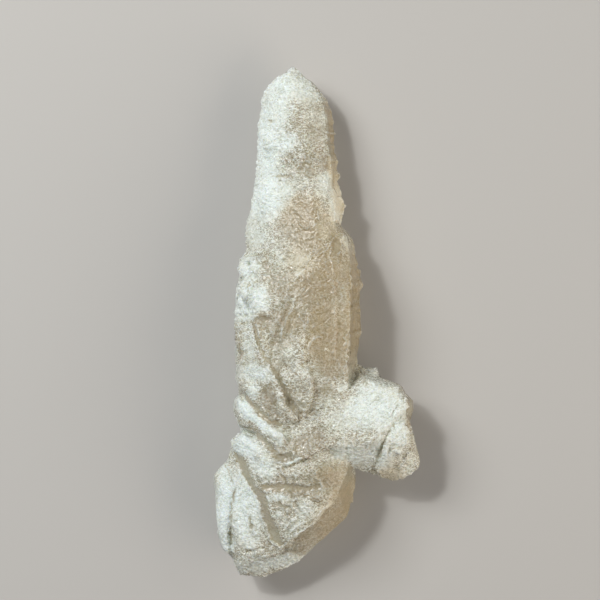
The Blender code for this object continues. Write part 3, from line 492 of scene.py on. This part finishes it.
# rises and hollows: x, y, half width, half height, turn, rise
frontMounds = [
    # prism: the lens, and nodules down the left edge
    (7.3, 14.2, 1.0, 1.9, -20, -0.25),
    (-8.7, 10.2, 2.2, 2.2, 0, 0.45),
    (-6.6, 5.0, 2.6, 1.7, 35, 0.55),
    (-9.9, 5.0, 1.7, 1.5, 0, 0.35),
    (-9.4, 1.8, 1.9, 1.4, 0, 0.35),
    (-5.6, 0.4, 2.0, 1.2, 0, -0.35),
    # beside the long groove
    (-1.4, -14.5, 1.0, 1.6, 20, -0.70),
    (-1.2, -4.9, 1.9, 1.9, 20, 0.30),
    (0.6, -10.0, 2.3, 3.0, 10, 0.30),
    (-8.3, -9.0, 2.6, 2.0, 20, 0.35),
    (-8.0, -12.6, 1.7, 1.4, 30, 0.30),
    (-4.8, -14.4, 1.3, 3.6, 12, -0.50),
    # foot and outer plates
    (-2.2, -24.8, 2.2, 0.9, 0, -0.45),
    (1.8, -34.2, 1.9, 1.6, 0, 0.45),
    (-12.0, -33.0, 0.8, 3.0, 0, -0.30),
    (-12.4, -39.6, 0.8, 2.0, 0, -0.18),
    (-8.6, -37.0, 0.60, 1.6, 0, -0.25),
    # fibrous relief of the plates
    (-10.4, -20.6, 0.9, 0.5, 30, 0.20),
    (-7.4, -24.6, 1.6, 0.5, -40, 0.20),
    (-9.6, -33.6, 0.7, 1.8, 10, 0.25),
    (-10.6, -37.6, 0.8, 1.6, -10, 0.25),
    (-7.6, -39.0, 1.2, 0.6, 20, 0.25),
    (-13.8, -31.0, 0.6, 2.2, 5, 0.20),
    (-13.9, -37.0, 0.6, 2.4, 0, 0.20),
    # side crystal
    (15.4, -24.6, 0.8, 3.0, -12, -0.30),
    (18.6, -20.8, 1.9, 2.8, 0, 0.35),
]


def remeshed(source, voxel):
    # one even skin over the merged solid
    worker = bpy.data.objects.new("skinWorker", source)
    scene.collection.objects.link(worker)
    skin = worker.modifiers.new("skin", "REMESH")
    skin.mode = "VOXEL"
    skin.voxel_size = voxel
    graph = bpy.context.evaluated_depsgraph_get()
    mesh = bpy.data.meshes.new_from_object(worker.evaluated_get(graph))
    bpy.data.objects.remove(worker)
    return mesh


def mergedCopy(node):
    bm = bmesh.new()
    bm.from_mesh(node.data)
    bmesh.ops.remove_doubles(bm, verts=bm.verts, dist=0.001 * mm)
    mesh = bpy.data.meshes.new("mergedStone")
    bm.to_mesh(mesh)
    bm.free()
    return mesh


def readVectors(mesh, field):
    values = np.empty(len(mesh.vertices) * 3)
    mesh.vertices.foreach_get(field, values)
    return values.reshape(-1, 3)


def writePoints(mesh, points):
    mesh.vertices.foreach_set("co", points.ravel())
    mesh.update()


class Neighbours:
    # each vertex's mean over the vertices it shares an edge with
    def __init__(self, mesh):
        edges = np.empty(len(mesh.edges) * 2, dtype=np.int64)
        mesh.edges.foreach_get("vertices", edges)
        edges = edges.reshape(-1, 2)
        self.start = np.concatenate([edges[:, 0], edges[:, 1]])
        self.end = np.concatenate([edges[:, 1], edges[:, 0]])
        self.total = len(mesh.vertices)
        self.count = np.bincount(self.start, minlength=self.total)

    def mean(self, values):
        if values.ndim == 1:
            return np.bincount(self.start, values[self.end], self.total) / self.count
        return np.stack([self.mean(values[:, axis]) for axis in range(values.shape[1])], axis=1)

    def soften(self, values, rounds, share=0.5):
        for _ in range(rounds):
            values = values + (self.mean(values) - values) * share
        return values


def noiseAt(points, size, shift=0.0, octaves=1):
    scaled = points / size + shift
    if octaves == 1:
        return np.array([noise.noise(p) for p in scaled.tolist()])
    return np.array([noise.fractal(p, 1.0, 2.0, octaves) for p in scaled.tolist()])


def wavered(points, x, y, reach, size, shiftX, shiftY):
    # x and y in millimetres, pushed about by a noise
    return x + reach * noiseAt(points, size, shiftX, 2), y + reach * noiseAt(points, size, shiftY, 2)


def smoothStep(low, high, values):
    t = np.clip((values - low) / (high - low), 0.0, 1.0)
    return t * t * (3.0 - 2.0 * t)


def patchReach(x, y, patch, inner, outer):
    # 1 inside an ellipse, fading to 0 outside it
    centreX, centreY, halfWidth, halfHeight, turn = patch
    c, s = math.cos(math.radians(turn)), math.sin(math.radians(turn))
    u = ((x - centreX) * c + (y - centreY) * s) / halfWidth
    v = ((y - centreY) * c - (x - centreX) * s) / halfHeight
    return 1.0 - smoothStep(inner, outer, np.sqrt(u * u + v * v))


def routeField(x, y, route):
    # distance to a route, the side (positive on its left) and a fade towards its ends
    near = np.full(len(x), 1e9)
    side = np.zeros(len(x))
    along = np.zeros(len(x))
    lengths = [math.dist(a, b) for a, b in zip(route, route[1:])]
    passed = 0.0
    for (ax, ay), (bx, by), length in zip(route, route[1:], lengths):
        dx, dy = (bx - ax) / length, (by - ay) / length
        t = np.clip((x - ax) * dx + (y - ay) * dy, 0.0, length)
        offX, offY = x - ax - dx * t, y - ay - dy * t
        distance = np.hypot(offX, offY)
        closer = distance < near
        near = np.where(closer, distance, near)
        side = np.where(closer, np.sign(dx * offY - dy * offX), side)
        along = np.where(closer, passed + t, along)
        passed += length
    ends = np.minimum(along, passed - along)
    return near, side, smoothStep(0.0, min(0.8, passed * 0.3), ends + 0.05)


def bandsAt(x, y):
    # distance to the nearest band's border, negative inside it, with its recess and its amber
    border = np.full(len(x), 9.0)
    recess = np.zeros(len(x))
    amber = np.zeros(len(x))
    for depth, warmth, route in bands:
        for (ax, ay, aWidth), (bx, by, bWidth) in zip(route, route[1:]):
            t = ((x - ax) * (bx - ax) + (y - ay) * (by - ay)) / math.dist((ax, ay), (bx, by)) ** 2
            t = np.clip(t, 0.0, 1.0)
            away = np.hypot(x - ax - (bx - ax) * t, y - ay - (by - ay) * t)
            away -= aWidth + (bWidth - aWidth) * t
            closer = away < border
            border = np.where(closer, away, border)
            recess = np.where(closer, depth, recess)
            amber = np.where(closer, warmth, amber)
    return border, recess, amber


def pulled(points):
    x = points[:, 0] / mm
    y = points[:, 1] / mm
    for centreX, centreY, radius, pushX, pushY in grabs:
        share = 1.0 - smoothStep(0.2, 1.3, np.hypot(x - centreX, y - centreY) / radius)
        points[:, 0] += share * pushX * mm
        points[:, 1] += share * pushY * mm
    return points


def filled(points, around):
    # growth has nearly filled the gaps under the bands, and a few hollows
    x, y, z = (points / mm).T
    border = bandsAt(x, y)[0]
    share = 1.0 - smoothStep(filling["core"], filling["reach"], border)
    share *= smoothStep(*filling["bandHeight"], z)
    for spotX, spotY, radius in fillSpots:
        away = np.hypot(x - spotX, y - spotY) / radius
        share = np.maximum(share, (1.0 - smoothStep(0.6, 1.2, away)) * smoothStep(*filling["spotHeight"], z))
    for _ in range(filling["rounds"]):
        mean = around.mean(points)
        lift = np.maximum(mean[:, 2] - points[:, 2], 0.0)
        points = points + (mean - points) * (share * filling["evening"])[:, None]
        points[:, 2] += lift * share * filling["lift"]
    return points


def toothed(points, normals):
    # rounded growth teeth down the crystals' side edges, with sharp notches between them
    y = points[:, 1] / mm
    onSide = smoothStep(0.35, 0.75, np.abs(normals[:, 0]))
    onSide *= np.where(normals[:, 0] < 0, 1.0 - 0.8 * smoothStep(*body["leftEnd"], y), 1.0)
    wander = noiseAt(points * np.array([0.35, 1.0, 0.03]), 3.5 * mm, 21.0, 2)
    beat = np.abs(np.sin(math.pi * (y / body["toothLength"] + 0.9 * wander)))
    reach = smoothStep(*body["toothStart"], y) * (1.0 - smoothStep(*body["toothEnd"], y))
    patchy = smoothStep(-0.35, 0.25, noiseAt(points, 5.0 * mm, 44.0))
    return body["tooth"] * (np.sqrt(beat) - body["toothRest"]) * onSide * reach * (0.6 + 0.4 * patchy)


def wornSkin():
    # the solid's own skin, filled, toothed and rounded, with the normals from before the rounding
    mesh = remeshed(mergedCopy(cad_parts["quartz_floater"]), body["voxel"])
    around = Neighbours(mesh)
    points = around.soften(readVectors(mesh, "co"), body["softenRounds"])
    points = filled(pulled(points), around)
    writePoints(mesh, points)
    normals = readVectors(mesh, "normal")
    points += normals * toothed(points, normals)[:, None]
    crown = smoothStep(*body["crownFrom"], points[:, 1] / mm)
    for rounds, share in ((body["roundingRounds"], 1.0), (body["crownRounds"], crown)):
        worn = share * smoothStep(0.35, 0.75, normals[:, 2])
        points += (around.soften(points, rounds) - points) * worn[:, None]
    return mesh, around, points, normals


def markHeights(x, y):
    total = np.zeros(len(x))
    for kind, width, depth, route in frontMarks:
        reach = 3.5 * width
        xs, ys = zip(*route)
        inside = (x > min(xs) - reach) & (x < max(xs) + reach) & (y > min(ys) - reach) & (y < max(ys) + reach)
        chosen = np.nonzero(inside)[0]
        near, side, taper = routeField(x[chosen], y[chosen], route)
        if kind == "ledge":
            rise = side * smoothStep(0.0, width, near) * np.exp(-((near / (2.2 * width)) ** 2)) * 0.7
        else:
            rise = np.exp(-((near / width) ** 2))
            if kind == "groove":
                rise = -rise
        total[chosen] += depth * rise * taper
    for *place, rise in frontMounds:
        total += rise * patchReach(x, y, place, 0.0, 1.25)
    return total


def formFront(points, facing):
    # the marks first, then the bands, with the plates' broken edges above them
    x, y = points[:, 0] / mm, points[:, 1] / mm
    x, y = wavered(points, x, y, body["warp"], body["warpSize"], 8.3, 2.9)
    points[:, 2] += markHeights(x, y) * mm * facing
    x, y = wavered(points, x, y, body["ragged"], body["raggedSize"], 14.3, 18.9)
    border, recess, bandAmber = bandsAt(x, y)
    inBand = (1.0 - smoothStep(*body["bandEdge"], border)) * facing
    lip = np.exp(-(((border - body["lipPlace"]) / body["lipWidth"]) ** 2)) * facing
    points[:, 2] += body["lip"] * lip - recess * mm * inBand
    return inBand, bandAmber


def frostAndSideLightAt(points, normals):
    x, y = points[:, 0] / mm, points[:, 1] / mm
    x, y = wavered(points, x, y, 0.5, 1.3 * mm, 3.1, 7.7)
    front = np.full(len(points), frostBase)
    for *place, amount in frostPatches:
        front += amount * patchReach(x, y, place, 0.35, 1.45)
    # painted light: the sides facing the key lamp on the left are painted whiter than the right-hand ones,
    # and the faces turned towards the lower end, which the lamps barely reach, are painted whiter too
    paintedSideLight = 0.40 - 0.32 * normals[:, 0] * smoothStep(2.0, 6.0, np.abs(x))
    paintedSideLight += 0.4 * noiseAt(points, 7.0 * mm, 1.3)
    paintedSideLight += 0.35 * smoothStep(0.3, 0.8, -normals[:, 1])
    facing = smoothStep(-0.1, 0.35, normals[:, 2])
    return np.clip(front * facing + paintedSideLight * (1.0 - facing), 0.0, 1.25)


def smokeAt(points):
    x, y = points[:, 0] / mm, points[:, 1] / mm
    x, y = wavered(points, x, y, 0.8, 2.5 * mm, 5.1, 9.7)
    smoke = np.zeros(len(points))
    for *place, amount in smokePatches:
        smoke = np.maximum(smoke, amount * patchReach(x, y, place, 0.4, 1.4))
    return smoke


def growthSteps(points):
    # low steps, drawn out across the crystal
    across = points * np.array([0.45, 1.0, 0.7])
    level = noiseAt(across, body["terraceSize"], 5.0, octaves=3) * body["terraceCount"]
    within = level - np.floor(level)
    return np.floor(level) + smoothStep(0.55, 1.0, within) - level


def chipHeights(points, size, seed, reach=0.5):
    # flat chips: every cell of a Voronoi pattern is a small plane with a tilt of its own
    rng = random.Random(seed)
    tilts = {}
    heights = []
    for p in (points / size).tolist():
        centre = noise.voronoi(p)[1][0]
        key = (round(centre.x, 3), round(centre.y, 3), round(centre.z, 3))
        if key not in tilts:
            tilts[key] = Vector([rng.uniform(-1, 1) for _ in range(3)])
        heights.append((Vector(p) - centre).dot(tilts[key]))
    return np.array(heights) * reach


def crossedEdges(points, size, shift, width):
    # thin straight edges between cells, broken up by a noise
    push = np.stack([noiseAt(points, size, axisShift + shift) for axisShift in (2.0, 4.0, 6.0)], axis=1)
    bent = points + 0.25 * size * push
    gaps = []
    for p in (bent * np.array([1.0, 0.7, 0.8]) / size + shift).tolist():
        distances = noise.voronoi(p)[0]
        gaps.append(distances[1] - distances[0])
    lines = 1.0 - smoothStep(0.0, width, np.array(gaps))
    return lines * smoothStep(-0.25, 0.25, noiseAt(points, 2.2 * mm, shift))


def veinNet(points):
    # raised edges that cross the clear parts, coarse and fine
    coarse = crossedEdges(points, body["edgeSize"], 12.0, 0.16)
    fine = crossedEdges(points, body["edgeSize"] * 0.5, 31.0, 0.24)
    return np.maximum(coarse, 0.7 * fine)


def wavyRidges(points):
    # fine ridges that wander across the crystal
    flat = points * np.array([0.55, 1.0, 0.8])
    return 0.6 - smoothStep(0.0, 0.20, np.abs(noiseAt(flat, body["ridgeSize"], 9.0, octaves=2)))


def reliefHeights(points, clear, smoke, calm, vein):
    # the small relief of growth, quieter where the quartz is smoky or calm
    rough = (1.0 - 0.85 * calm) * (1.0 - 0.65 * smoke)
    coarseChips = chipHeights(points, body["chipSize"], body["seed"])
    fineChips = chipHeights(points, body["chipSize"] * 0.5, body["seed"] + 1)
    height = body["swell"] * noiseAt(points, body["swellSize"], octaves=3)
    height += body["terrace"] * growthSteps(points)
    height += body["chip"] * coarseChips * (0.95 - 0.5 * clear) * rough
    height += body["chip"] * 0.6 * fineChips * rough
    height += body["edge"] * vein * (0.25 + 0.75 * clear) * (1.0 - 0.5 * smoke)
    height += body["ridge"] * wavyRidges(points) * (1.2 - 0.9 * clear) * rough
    height += body["grain"] * noiseAt(points, body["grainSize"], 9.0, octaves=2) * rough
    return height


def thinned(mesh, keep):
    # fewer triangles where the weight is low
    worker = bpy.data.objects.new("thinWorker", mesh)
    scene.collection.objects.link(worker)
    group = worker.vertex_groups.new(name="keep")
    for level in range(11):
        chosen = np.nonzero(np.round(keep * 10) == level)[0]
        group.add(chosen.tolist(), level / 10, "REPLACE")
    thin = worker.modifiers.new("thin", "DECIMATE")
    thin.ratio = body["triangles"] / (2 * len(mesh.polygons))
    thin.vertex_group = "keep"
    thin.invert_vertex_group = True
    thin.vertex_group_factor = 1.0
    thin.use_collapse_triangulate = True
    graph = bpy.context.evaluated_depsgraph_get()
    result = bpy.data.meshes.new_from_object(worker.evaluated_get(graph))
    bpy.data.objects.remove(worker)
    return result


def buildBody():
    mesh, around, points, normals = wornSkin()
    print("body skin", len(points), "points")

    inBand, bandAmber = formFront(points, smoothStep(0.05, 0.45, normals[:, 2]))
    writePoints(mesh, points)
    normals = readVectors(mesh, "normal")
    rightSide = smoothStep(0.45, 0.85, normals[:, 0]) * smoothStep(4.0, 6.0, points[:, 0] / mm)
    calm = np.maximum(inBand, 0.6 * rightSide)
    # frost mask, with the painted side light in it
    frostAndSideLight = np.maximum(frostAndSideLightAt(points, normals), 0.0)
    frostAndSideLight += (body["bandFrost"] - frostAndSideLight) * inBand
    clear = np.maximum(1.0 - frostAndSideLight, 0.0)
    vein = veinNet(points) * (1.0 - calm)
    smoke = np.maximum(smokeAt(points), bandAmber * inBand)

    points = points + normals * reliefHeights(points, clear, smoke, calm, vein)[:, None]
    points += (around.soften(points, 2) - points) * (body["sideSoftening"] * rightSide)[:, None]
    points[:, 2] = np.maximum(points[:, 2], 0.0)
    writePoints(mesh, points)
    small = ((around.soften(points, 8) - points) * normals).sum(axis=1)
    broad = ((around.soften(points, 40) - points) * normals).sum(axis=1)
    looks = {
        "frostAndSideLight": frostAndSideLight,
        "vein": vein,
        "hollow": np.clip(small / body["hollowDepth"], -1.0, 1.0),
        "deep": np.clip(broad / body["deepDepth"], -1.0, 1.0),
        "amber": smoke,
        "calm": calm,
    }
    for name, values in looks.items():
        layer = mesh.attributes.new(name, "FLOAT", "POINT")
        layer.data.foreach_set("value", np.ascontiguousarray(values, dtype=np.float32))

    mesh = thinned(mesh, body["backShare"] + (1 - body["backShare"]) * smoothStep(-0.1, 0.4, normals[:, 2]))
    points = readVectors(mesh, "co")
    points[:, 2] = np.maximum(points[:, 2], 0.0)
    writePoints(mesh, points)
    mesh.name = "floaterBody"
    stone = bpy.data.objects.new("floaterBody", mesh)
    scene.collection.objects.link(stone)
    mesh.shade_smooth()
    print("body", len(mesh.polygons), "triangles")
    return stone


# its finish
finish = {
    "tan": (0.50, 0.425, 0.29, 1.0),
    "olive": (0.49, 0.45, 0.30, 1.0),
    "paleOlive": (0.46, 0.455, 0.36, 1.0),
    "amberTint": (0.52, 0.405, 0.21, 1.0),
    "filamentAndGlint": (0.83, 0.81, 0.69, 1.0),
    "warmFilamentAndGlint": (0.80, 0.72, 0.56, 1.0),
    "warmWhite": (0.71, 0.68, 0.55, 1.0),
    "frostWhite": (0.79, 0.885, 0.87, 1.0),
    "frostShade": (0.63, 0.735, 0.71, 1.0),
    "streakShade": (0.56, 0.645, 0.60, 1.0),
    "speck": (0.33, 0.31, 0.22, 1.0),
    "frostSpeckAndPitShade": (0.40, 0.43, 0.39, 1.0),
    # painted shade: multiplied into the colour in the relief's small hollows
    "hollowShade": (0.80, 0.76, 0.66, 1.0),
    # painted shade: multiplied into the colour in the broad hollows, dark and warm
    "deepShade": (0.80, 0.72, 0.58, 1.0),
    # painted highlight: the colour laid on the relief's crests
    "crestHighlight": (0.86, 0.94, 0.925, 1.0),
    "busySize": 5.0 * mm,  # quiet and lively areas
    "cloudSize": 3.0 * mm,
    "streakSize": 1.3 * mm,
    "patchySize": 0.90 * mm,
    "filamentSize": 0.75 * mm,
    "facetSize": 0.75 * mm,
    "facetBend": 0.35 * mm,
    "facetBendSize": 0.9 * mm,
    "reliefSize": 0.50 * mm,
    "ridgeSize": 0.42 * mm,
    "fineSize": 0.30 * mm,
    "cloudMottling": 0.20,
    "patchyMottling": 0.40,
    "fineMottling": 0.60,
    "ridgeMottling": 0.45,
    "clearRoughness": 0.26,
    "frostRoughness": 0.36,
    "clearTransmission": 0.45,
    "clearCoat": 0.10,
    "frostCoat": 0.05,
    "coatRoughness": 0.06,
    "refraction": 1.54,
    "clearLean": 0.14,  # how far the facets lean
    "frostLean": 0.07,
    "bumpDepth": 0.30 * mm,
    "clearBump": 0.22,
    "frostBump": 0.45,
    "milk": 0.32,
    "milkDepth": 5.0 * mm,
    "milkSpread": (1.0, 0.85, 0.62),
}


class Wiring:
    def __init__(self, material):
        self.tree = material.node_tree
        self.nodes = self.tree.nodes

    def node(self, kind, **settings):
        made = self.nodes.new(kind)
        for key, value in settings.items():
            setattr(made, key, value)
        return made

    def join(self, source, target):
        self.tree.links.new(source, target)

    def feed(self, values, sockets):
        # each value is a constant or another node's socket
        for value, socket in zip(values, sockets):
            if isinstance(value, (int, float, tuple)):
                socket.default_value = value
            else:
                self.join(value, socket)

    def attribute(self, name):
        return self.node("ShaderNodeAttribute", attribute_name=name).outputs["Fac"]

    def mathOf(self, operation, a, b=0.0, clamp=False):
        made = self.node("ShaderNodeMath", operation=operation, use_clamp=clamp)
        self.feed((a, b), made.inputs)
        return made.outputs[0]

    def vectorOf(self, operation, *values):
        made = self.node("ShaderNodeVectorMath", operation=operation)
        self.feed(values, made.inputs)
        return made.outputs[0]

    def product(self, a, b):
        return self.mathOf("MULTIPLY", a, b)

    def greater(self, a, b):
        return self.mathOf("MAXIMUM", a, b)

    def total(self, first, *others):
        for other in others:
            first = self.mathOf("ADD", first, other)
        return first

    def around(self, value, strength):
        # a noise centred on zero
        return self.product(self.mathOf("SUBTRACT", value, 0.5), strength)

    def remap(self, value, low, high, newLow=0.0, newHigh=1.0):
        made = self.node("ShaderNodeMapRange", interpolation_type="SMOOTHSTEP")
        self.feed((value, low, high, newLow, newHigh), made.inputs)
        return made.outputs["Result"]

    def mixColour(self, share, a, b, blend="MIX"):
        made = self.node("ShaderNodeMix", data_type="RGBA", blend_type=blend)
        self.feed((share, a, b), (made.inputs[0], made.inputs[6], made.inputs[7]))
        return made.outputs[2]

    def shifted(self, place, shift, stretch=(1.0, 1.0, 1.0)):
        made = self.node("ShaderNodeMapping")
        self.join(place, made.inputs["Vector"])
        made.inputs["Location"].default_value = (shift, shift * 0.7, shift * 1.3)
        made.inputs["Scale"].default_value = stretch
        return made.outputs["Vector"]

    def noiseNode(self, place, size):
        made = self.node("ShaderNodeTexNoise")
        made.inputs["Scale"].default_value = 1.0 / size
        self.join(place, made.inputs["Vector"])
        return made

    def noiseTexture(self, place, size, detail=2.0, roughness=0.5):
        made = self.noiseNode(place, size)
        made.inputs["Detail"].default_value = detail
        made.inputs["Roughness"].default_value = roughness
        return made.outputs["Fac"]

    def bent(self, place, reach, size):
        # the same place, pushed about by a noise
        push = self.vectorOf("SUBTRACT", self.noiseNode(place, size).outputs["Color"], (0.5, 0.5, 0.5))
        return self.vectorOf("MULTIPLY_ADD", push, (2 * reach, 2 * reach, 2 * reach), place)

    def cellColours(self, place, size):
        made = self.node("ShaderNodeTexVoronoi", feature="F1")
        made.inputs["Scale"].default_value = 1.0 / size
        self.join(place, made.inputs["Vector"])
        return made.outputs["Color"]

    def fromMiddle(self, place, size):
        # how far a noise is from its middle
        return self.mathOf("ABSOLUTE", self.mathOf("SUBTRACT", self.noiseTexture(place, size, 1.0), 0.5))

    def ridges(self, place, size):
        # wavy crests, drawn out across the crystal
        return self.remap(self.fromMiddle(self.shifted(place, 3.0 * mm, (0.55, 1.0, 0.8)), size), 0.10, 0.0)

    def hairs(self, place, size, width, shift):
        # thin curved lines where a noise crosses its middle, broken into short lengths
        moved = self.shifted(place, shift * mm)
        line = self.remap(self.fromMiddle(moved, size), width, width * 0.25)
        return self.product(line, self.remap(self.noiseTexture(moved, size * 1.1, 1.0), 0.47, 0.55))


def readSigns(wire):
    # what the colours, the gloss and the relief share
    signs = {name: wire.attribute(name) for name in ("frostAndSideLight", "hollow", "deep", "vein", "amber")}
    place = wire.node("ShaderNodeTexCoord").outputs["Object"]
    signs["place"] = place
    signs["cloud"] = wire.noiseTexture(place, finish["cloudSize"], 3.0, 0.5)
    signs["patchy"] = wire.noiseTexture(place, finish["patchySize"], 3.0, 0.6)
    signs["fine"] = wire.noiseTexture(place, finish["fineSize"], 3.0, 0.7)
    signs["ridges"] = wire.ridges(place, finish["ridgeSize"])
    signs["facets"] = wire.cellColours(
        wire.bent(place, finish["facetBend"], finish["facetBendSize"]), finish["facetSize"])

    # lively: outside the bands and the smooth right side; rough: also outside the quiet areas
    lively = wire.remap(wire.attribute("calm"), 0.0, 1.0, 1.0, 0.12)
    busy = wire.remap(wire.noiseTexture(place, finish["busySize"]), 0.36, 0.60, 0.45, 1.0)
    busy = wire.product(busy, wire.remap(signs["amber"], 0.1, 0.9, 1.0, 0.7))
    busy = wire.greater(busy, wire.remap(signs["frostAndSideLight"], 0.4, 0.9))
    signs["rough"] = wire.product(lively, busy)
    signs["tilt"] = wire.greater(signs["rough"], wire.product(lively, 0.8))

    # pale lines in the clear quartz: curved hairs, and painted highlight on the ridges' crests
    size = finish["filamentSize"]
    hairs = wire.greater(wire.hairs(place, size, 0.05, 0.0), wire.hairs(place, size * 0.7, 0.05, 40.0))
    hairs = wire.greater(hairs, wire.hairs(place, size * 1.6, 0.028, 90.0))
    paintedCrestLight = wire.product(wire.product(signs["ridges"], 0.6), signs["rough"])
    signs["lines"] = wire.greater(paintedCrestLight, wire.product(wire.product(hairs, 0.8), lively))
    return signs


def frostAndSideLightMask(wire, signs):
    grit = wire.around(signs["fine"], finish["fineMottling"])
    mottling = wire.total(
        wire.around(signs["cloud"], finish["cloudMottling"]),
        wire.around(signs["patchy"], finish["patchyMottling"]),
        wire.product(grit, wire.remap(signs["frostAndSideLight"], 0.25, 0.75, 0.55, 1.0)),
        wire.around(signs["ridges"], finish["ridgeMottling"]),
    )
    return wire.mathOf("ADD", signs["frostAndSideLight"], wire.product(mottling, signs["rough"]), clamp=True)


def clearColour(wire, signs, tone):
    # an even tan to olive ground with pale filaments and painted highlight on the ridges' crests, darker
    # facets, and paler facets as painted glints
    frostAndSideLight, amber = signs["frostAndSideLight"], signs["amber"]
    ground = wire.mixColour(wire.remap(signs["cloud"], 0.38, 0.62), finish["tan"], finish["olive"])
    ground = wire.mixColour(wire.remap(frostAndSideLight, 0.25, 0.75), ground, finish["paleOlive"])
    ground = wire.mixColour(wire.remap(amber, 0.1, 1.0, 0.0, 0.8), ground, finish["amberTint"])
    threadAndGlint = wire.mixColour(wire.remap(amber, 0.1, 0.8), finish["filamentAndGlint"], finish["warmFilamentAndGlint"])
    ground = wire.mixColour(signs["lines"], ground, threadAndGlint)
    ground = wire.mixColour(wire.remap(signs["vein"], 0.3, 1.0, 0.0, 0.4), ground, threadAndGlint)
    # painted highlight: the paler facets become painted glints
    paintedGlint = wire.product(wire.remap(tone[0], 0.55, 1.0, 0.0, 0.30), signs["rough"])
    ground = wire.mixColour(paintedGlint, ground, threadAndGlint)
    dark = wire.product(wire.remap(tone[1], 0.40, 0.0, 0.0, 0.30), signs["rough"])
    return wire.mixColour(dark, ground, finish["speck"])


def frostColour(wire, signs, tone):
    # white with soft grey mottling and fine specks, painted shade in the fine relief's pits and painted
    # highlight on its crests, warmer over smoky quartz
    fine = signs["fine"]
    patchy = wire.remap(signs["patchy"], 0.36, 0.52)
    drawnOut = wire.shifted(signs["place"], 7.0 * mm, (0.35, 1.0, 0.6))
    streaks = wire.noiseTexture(drawnOut, finish["streakSize"])
    lessOnWhite = wire.remap(signs["frostAndSideLight"], 0.85, 1.15, 1.0, 0.4)
    # painted shade: the fine relief's low points, its pits, turn grey
    pitShade = wire.product(wire.remap(fine, 0.49, 0.33, 0.0, 0.6), lessOnWhite)
    white = wire.mixColour(patchy, finish["frostShade"], finish["frostWhite"])
    white = wire.mixColour(wire.remap(streaks, 0.48, 0.33, 0.0, 0.9), white, finish["streakShade"])
    white = wire.mixColour(wire.remap(tone[1], 0.35, 0.0, 0.0, 0.15), white, finish["frostSpeckAndPitShade"])
    white = wire.mixColour(pitShade, white, finish["frostSpeckAndPitShade"])
    # partly pale frost grains, partly painted highlight: the ridges' crests and the fine relief's peaks turn
    # paler
    white = wire.mixColour(wire.product(signs["ridges"], 0.8), white, finish["crestHighlight"])
    white = wire.mixColour(wire.remap(fine, 0.51, 0.62, 0.0, 0.9), white, finish["crestHighlight"])
    return wire.mixColour(wire.remap(signs["amber"], 0.1, 0.9, 0.0, 0.8), white, finish["warmWhite"])


def surfaceNormal(wire, signs, mask):
    # fine relief, and small facets that each lean their own way
    strength = wire.remap(mask, 0.0, 0.8, finish["clearBump"], finish["frostBump"])
    relief = wire.total(
        wire.noiseTexture(signs["place"], finish["reliefSize"], 3.0, 0.65),
        wire.product(signs["lines"], 0.3),
        signs["fine"],
        wire.product(signs["ridges"], 0.7),
    )
    bump = wire.node("ShaderNodeBump")
    bump.inputs["Distance"].default_value = finish["bumpDepth"]
    wire.join(wire.product(strength, signs["tilt"]), bump.inputs["Strength"])
    wire.join(relief, bump.inputs["Height"])

    lean = wire.node("ShaderNodeVectorMath", operation="SCALE")
    wire.join(wire.vectorOf("SUBTRACT", signs["facets"], (0.5, 0.5, 0.5)), lean.inputs[0])
    amount = wire.remap(mask, 0.0, 1.0, finish["clearLean"], finish["frostLean"])
    wire.join(wire.product(amount, signs["tilt"]), lean.inputs["Scale"])
    return wire.vectorOf("NORMALIZE", wire.vectorOf("ADD", bump.outputs["Normal"], lean.outputs[0]))


def quartzFinish():
    material = bpy.data.materials.new("milkyQuartz")
    material.use_nodes = True
    wire = Wiring(material)
    shader = wire.nodes["Principled BSDF"]
    signs = readSigns(wire)
    hollow = signs["hollow"]
    deep = signs["deep"]
    mask = frostAndSideLightMask(wire, signs)
    split = wire.node("ShaderNodeSeparateColor")
    wire.join(signs["facets"], split.inputs[0])
    tone = split.outputs  # every small facet has its own tone: the paler ones are painted glints, the darker ones specks

    colour = wire.mixColour(mask, clearColour(wire, signs, tone), frostColour(wire, signs, tone))
    # painted shade: darker in the relief's small hollows
    colour = wire.mixColour(wire.remap(hollow, 0.1, 1.0, 0.0, 0.5), colour, finish["hollowShade"], "MULTIPLY")
    # painted highlight: paler on the relief's convex crests
    colour = wire.mixColour(wire.remap(hollow, -0.2, -1.0, 0.0, 0.35), colour, finish["crestHighlight"])
    # painted shade: darker and warmer in the broad hollows
    colour = wire.mixColour(wire.remap(deep, 0.1, 1.0, 0.0, 0.5), colour, finish["deepShade"], "MULTIPLY")
    linked = {
        "Base Color": colour,
        "Roughness": wire.remap(mask, 0.2, 0.8, finish["clearRoughness"], finish["frostRoughness"]),
        "Transmission Weight": wire.remap(mask, 0.7, 0.0, 0.0, finish["clearTransmission"]),
        "Coat Weight": wire.remap(mask, 0.2, 0.9, finish["clearCoat"], finish["frostCoat"]),
        "Normal": surfaceNormal(wire, signs, mask),
    }
    for name, source in linked.items():
        wire.join(source, shader.inputs[name])
    shader.inputs["Coat Roughness"].default_value = finish["coatRoughness"]
    shader.inputs["IOR"].default_value = finish["refraction"]
    shader.inputs["Subsurface Weight"].default_value = finish["milk"]
    shader.inputs["Subsurface Radius"].default_value = finish["milkSpread"]
    shader.inputs["Subsurface Scale"].default_value = finish["milkDepth"]
    return material


stone = buildBody()
stone.data.materials.clear()
stone.data.materials.append(quartzFinish())
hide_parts("quartz_floater")
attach(stone, "root")
print("stone ready")
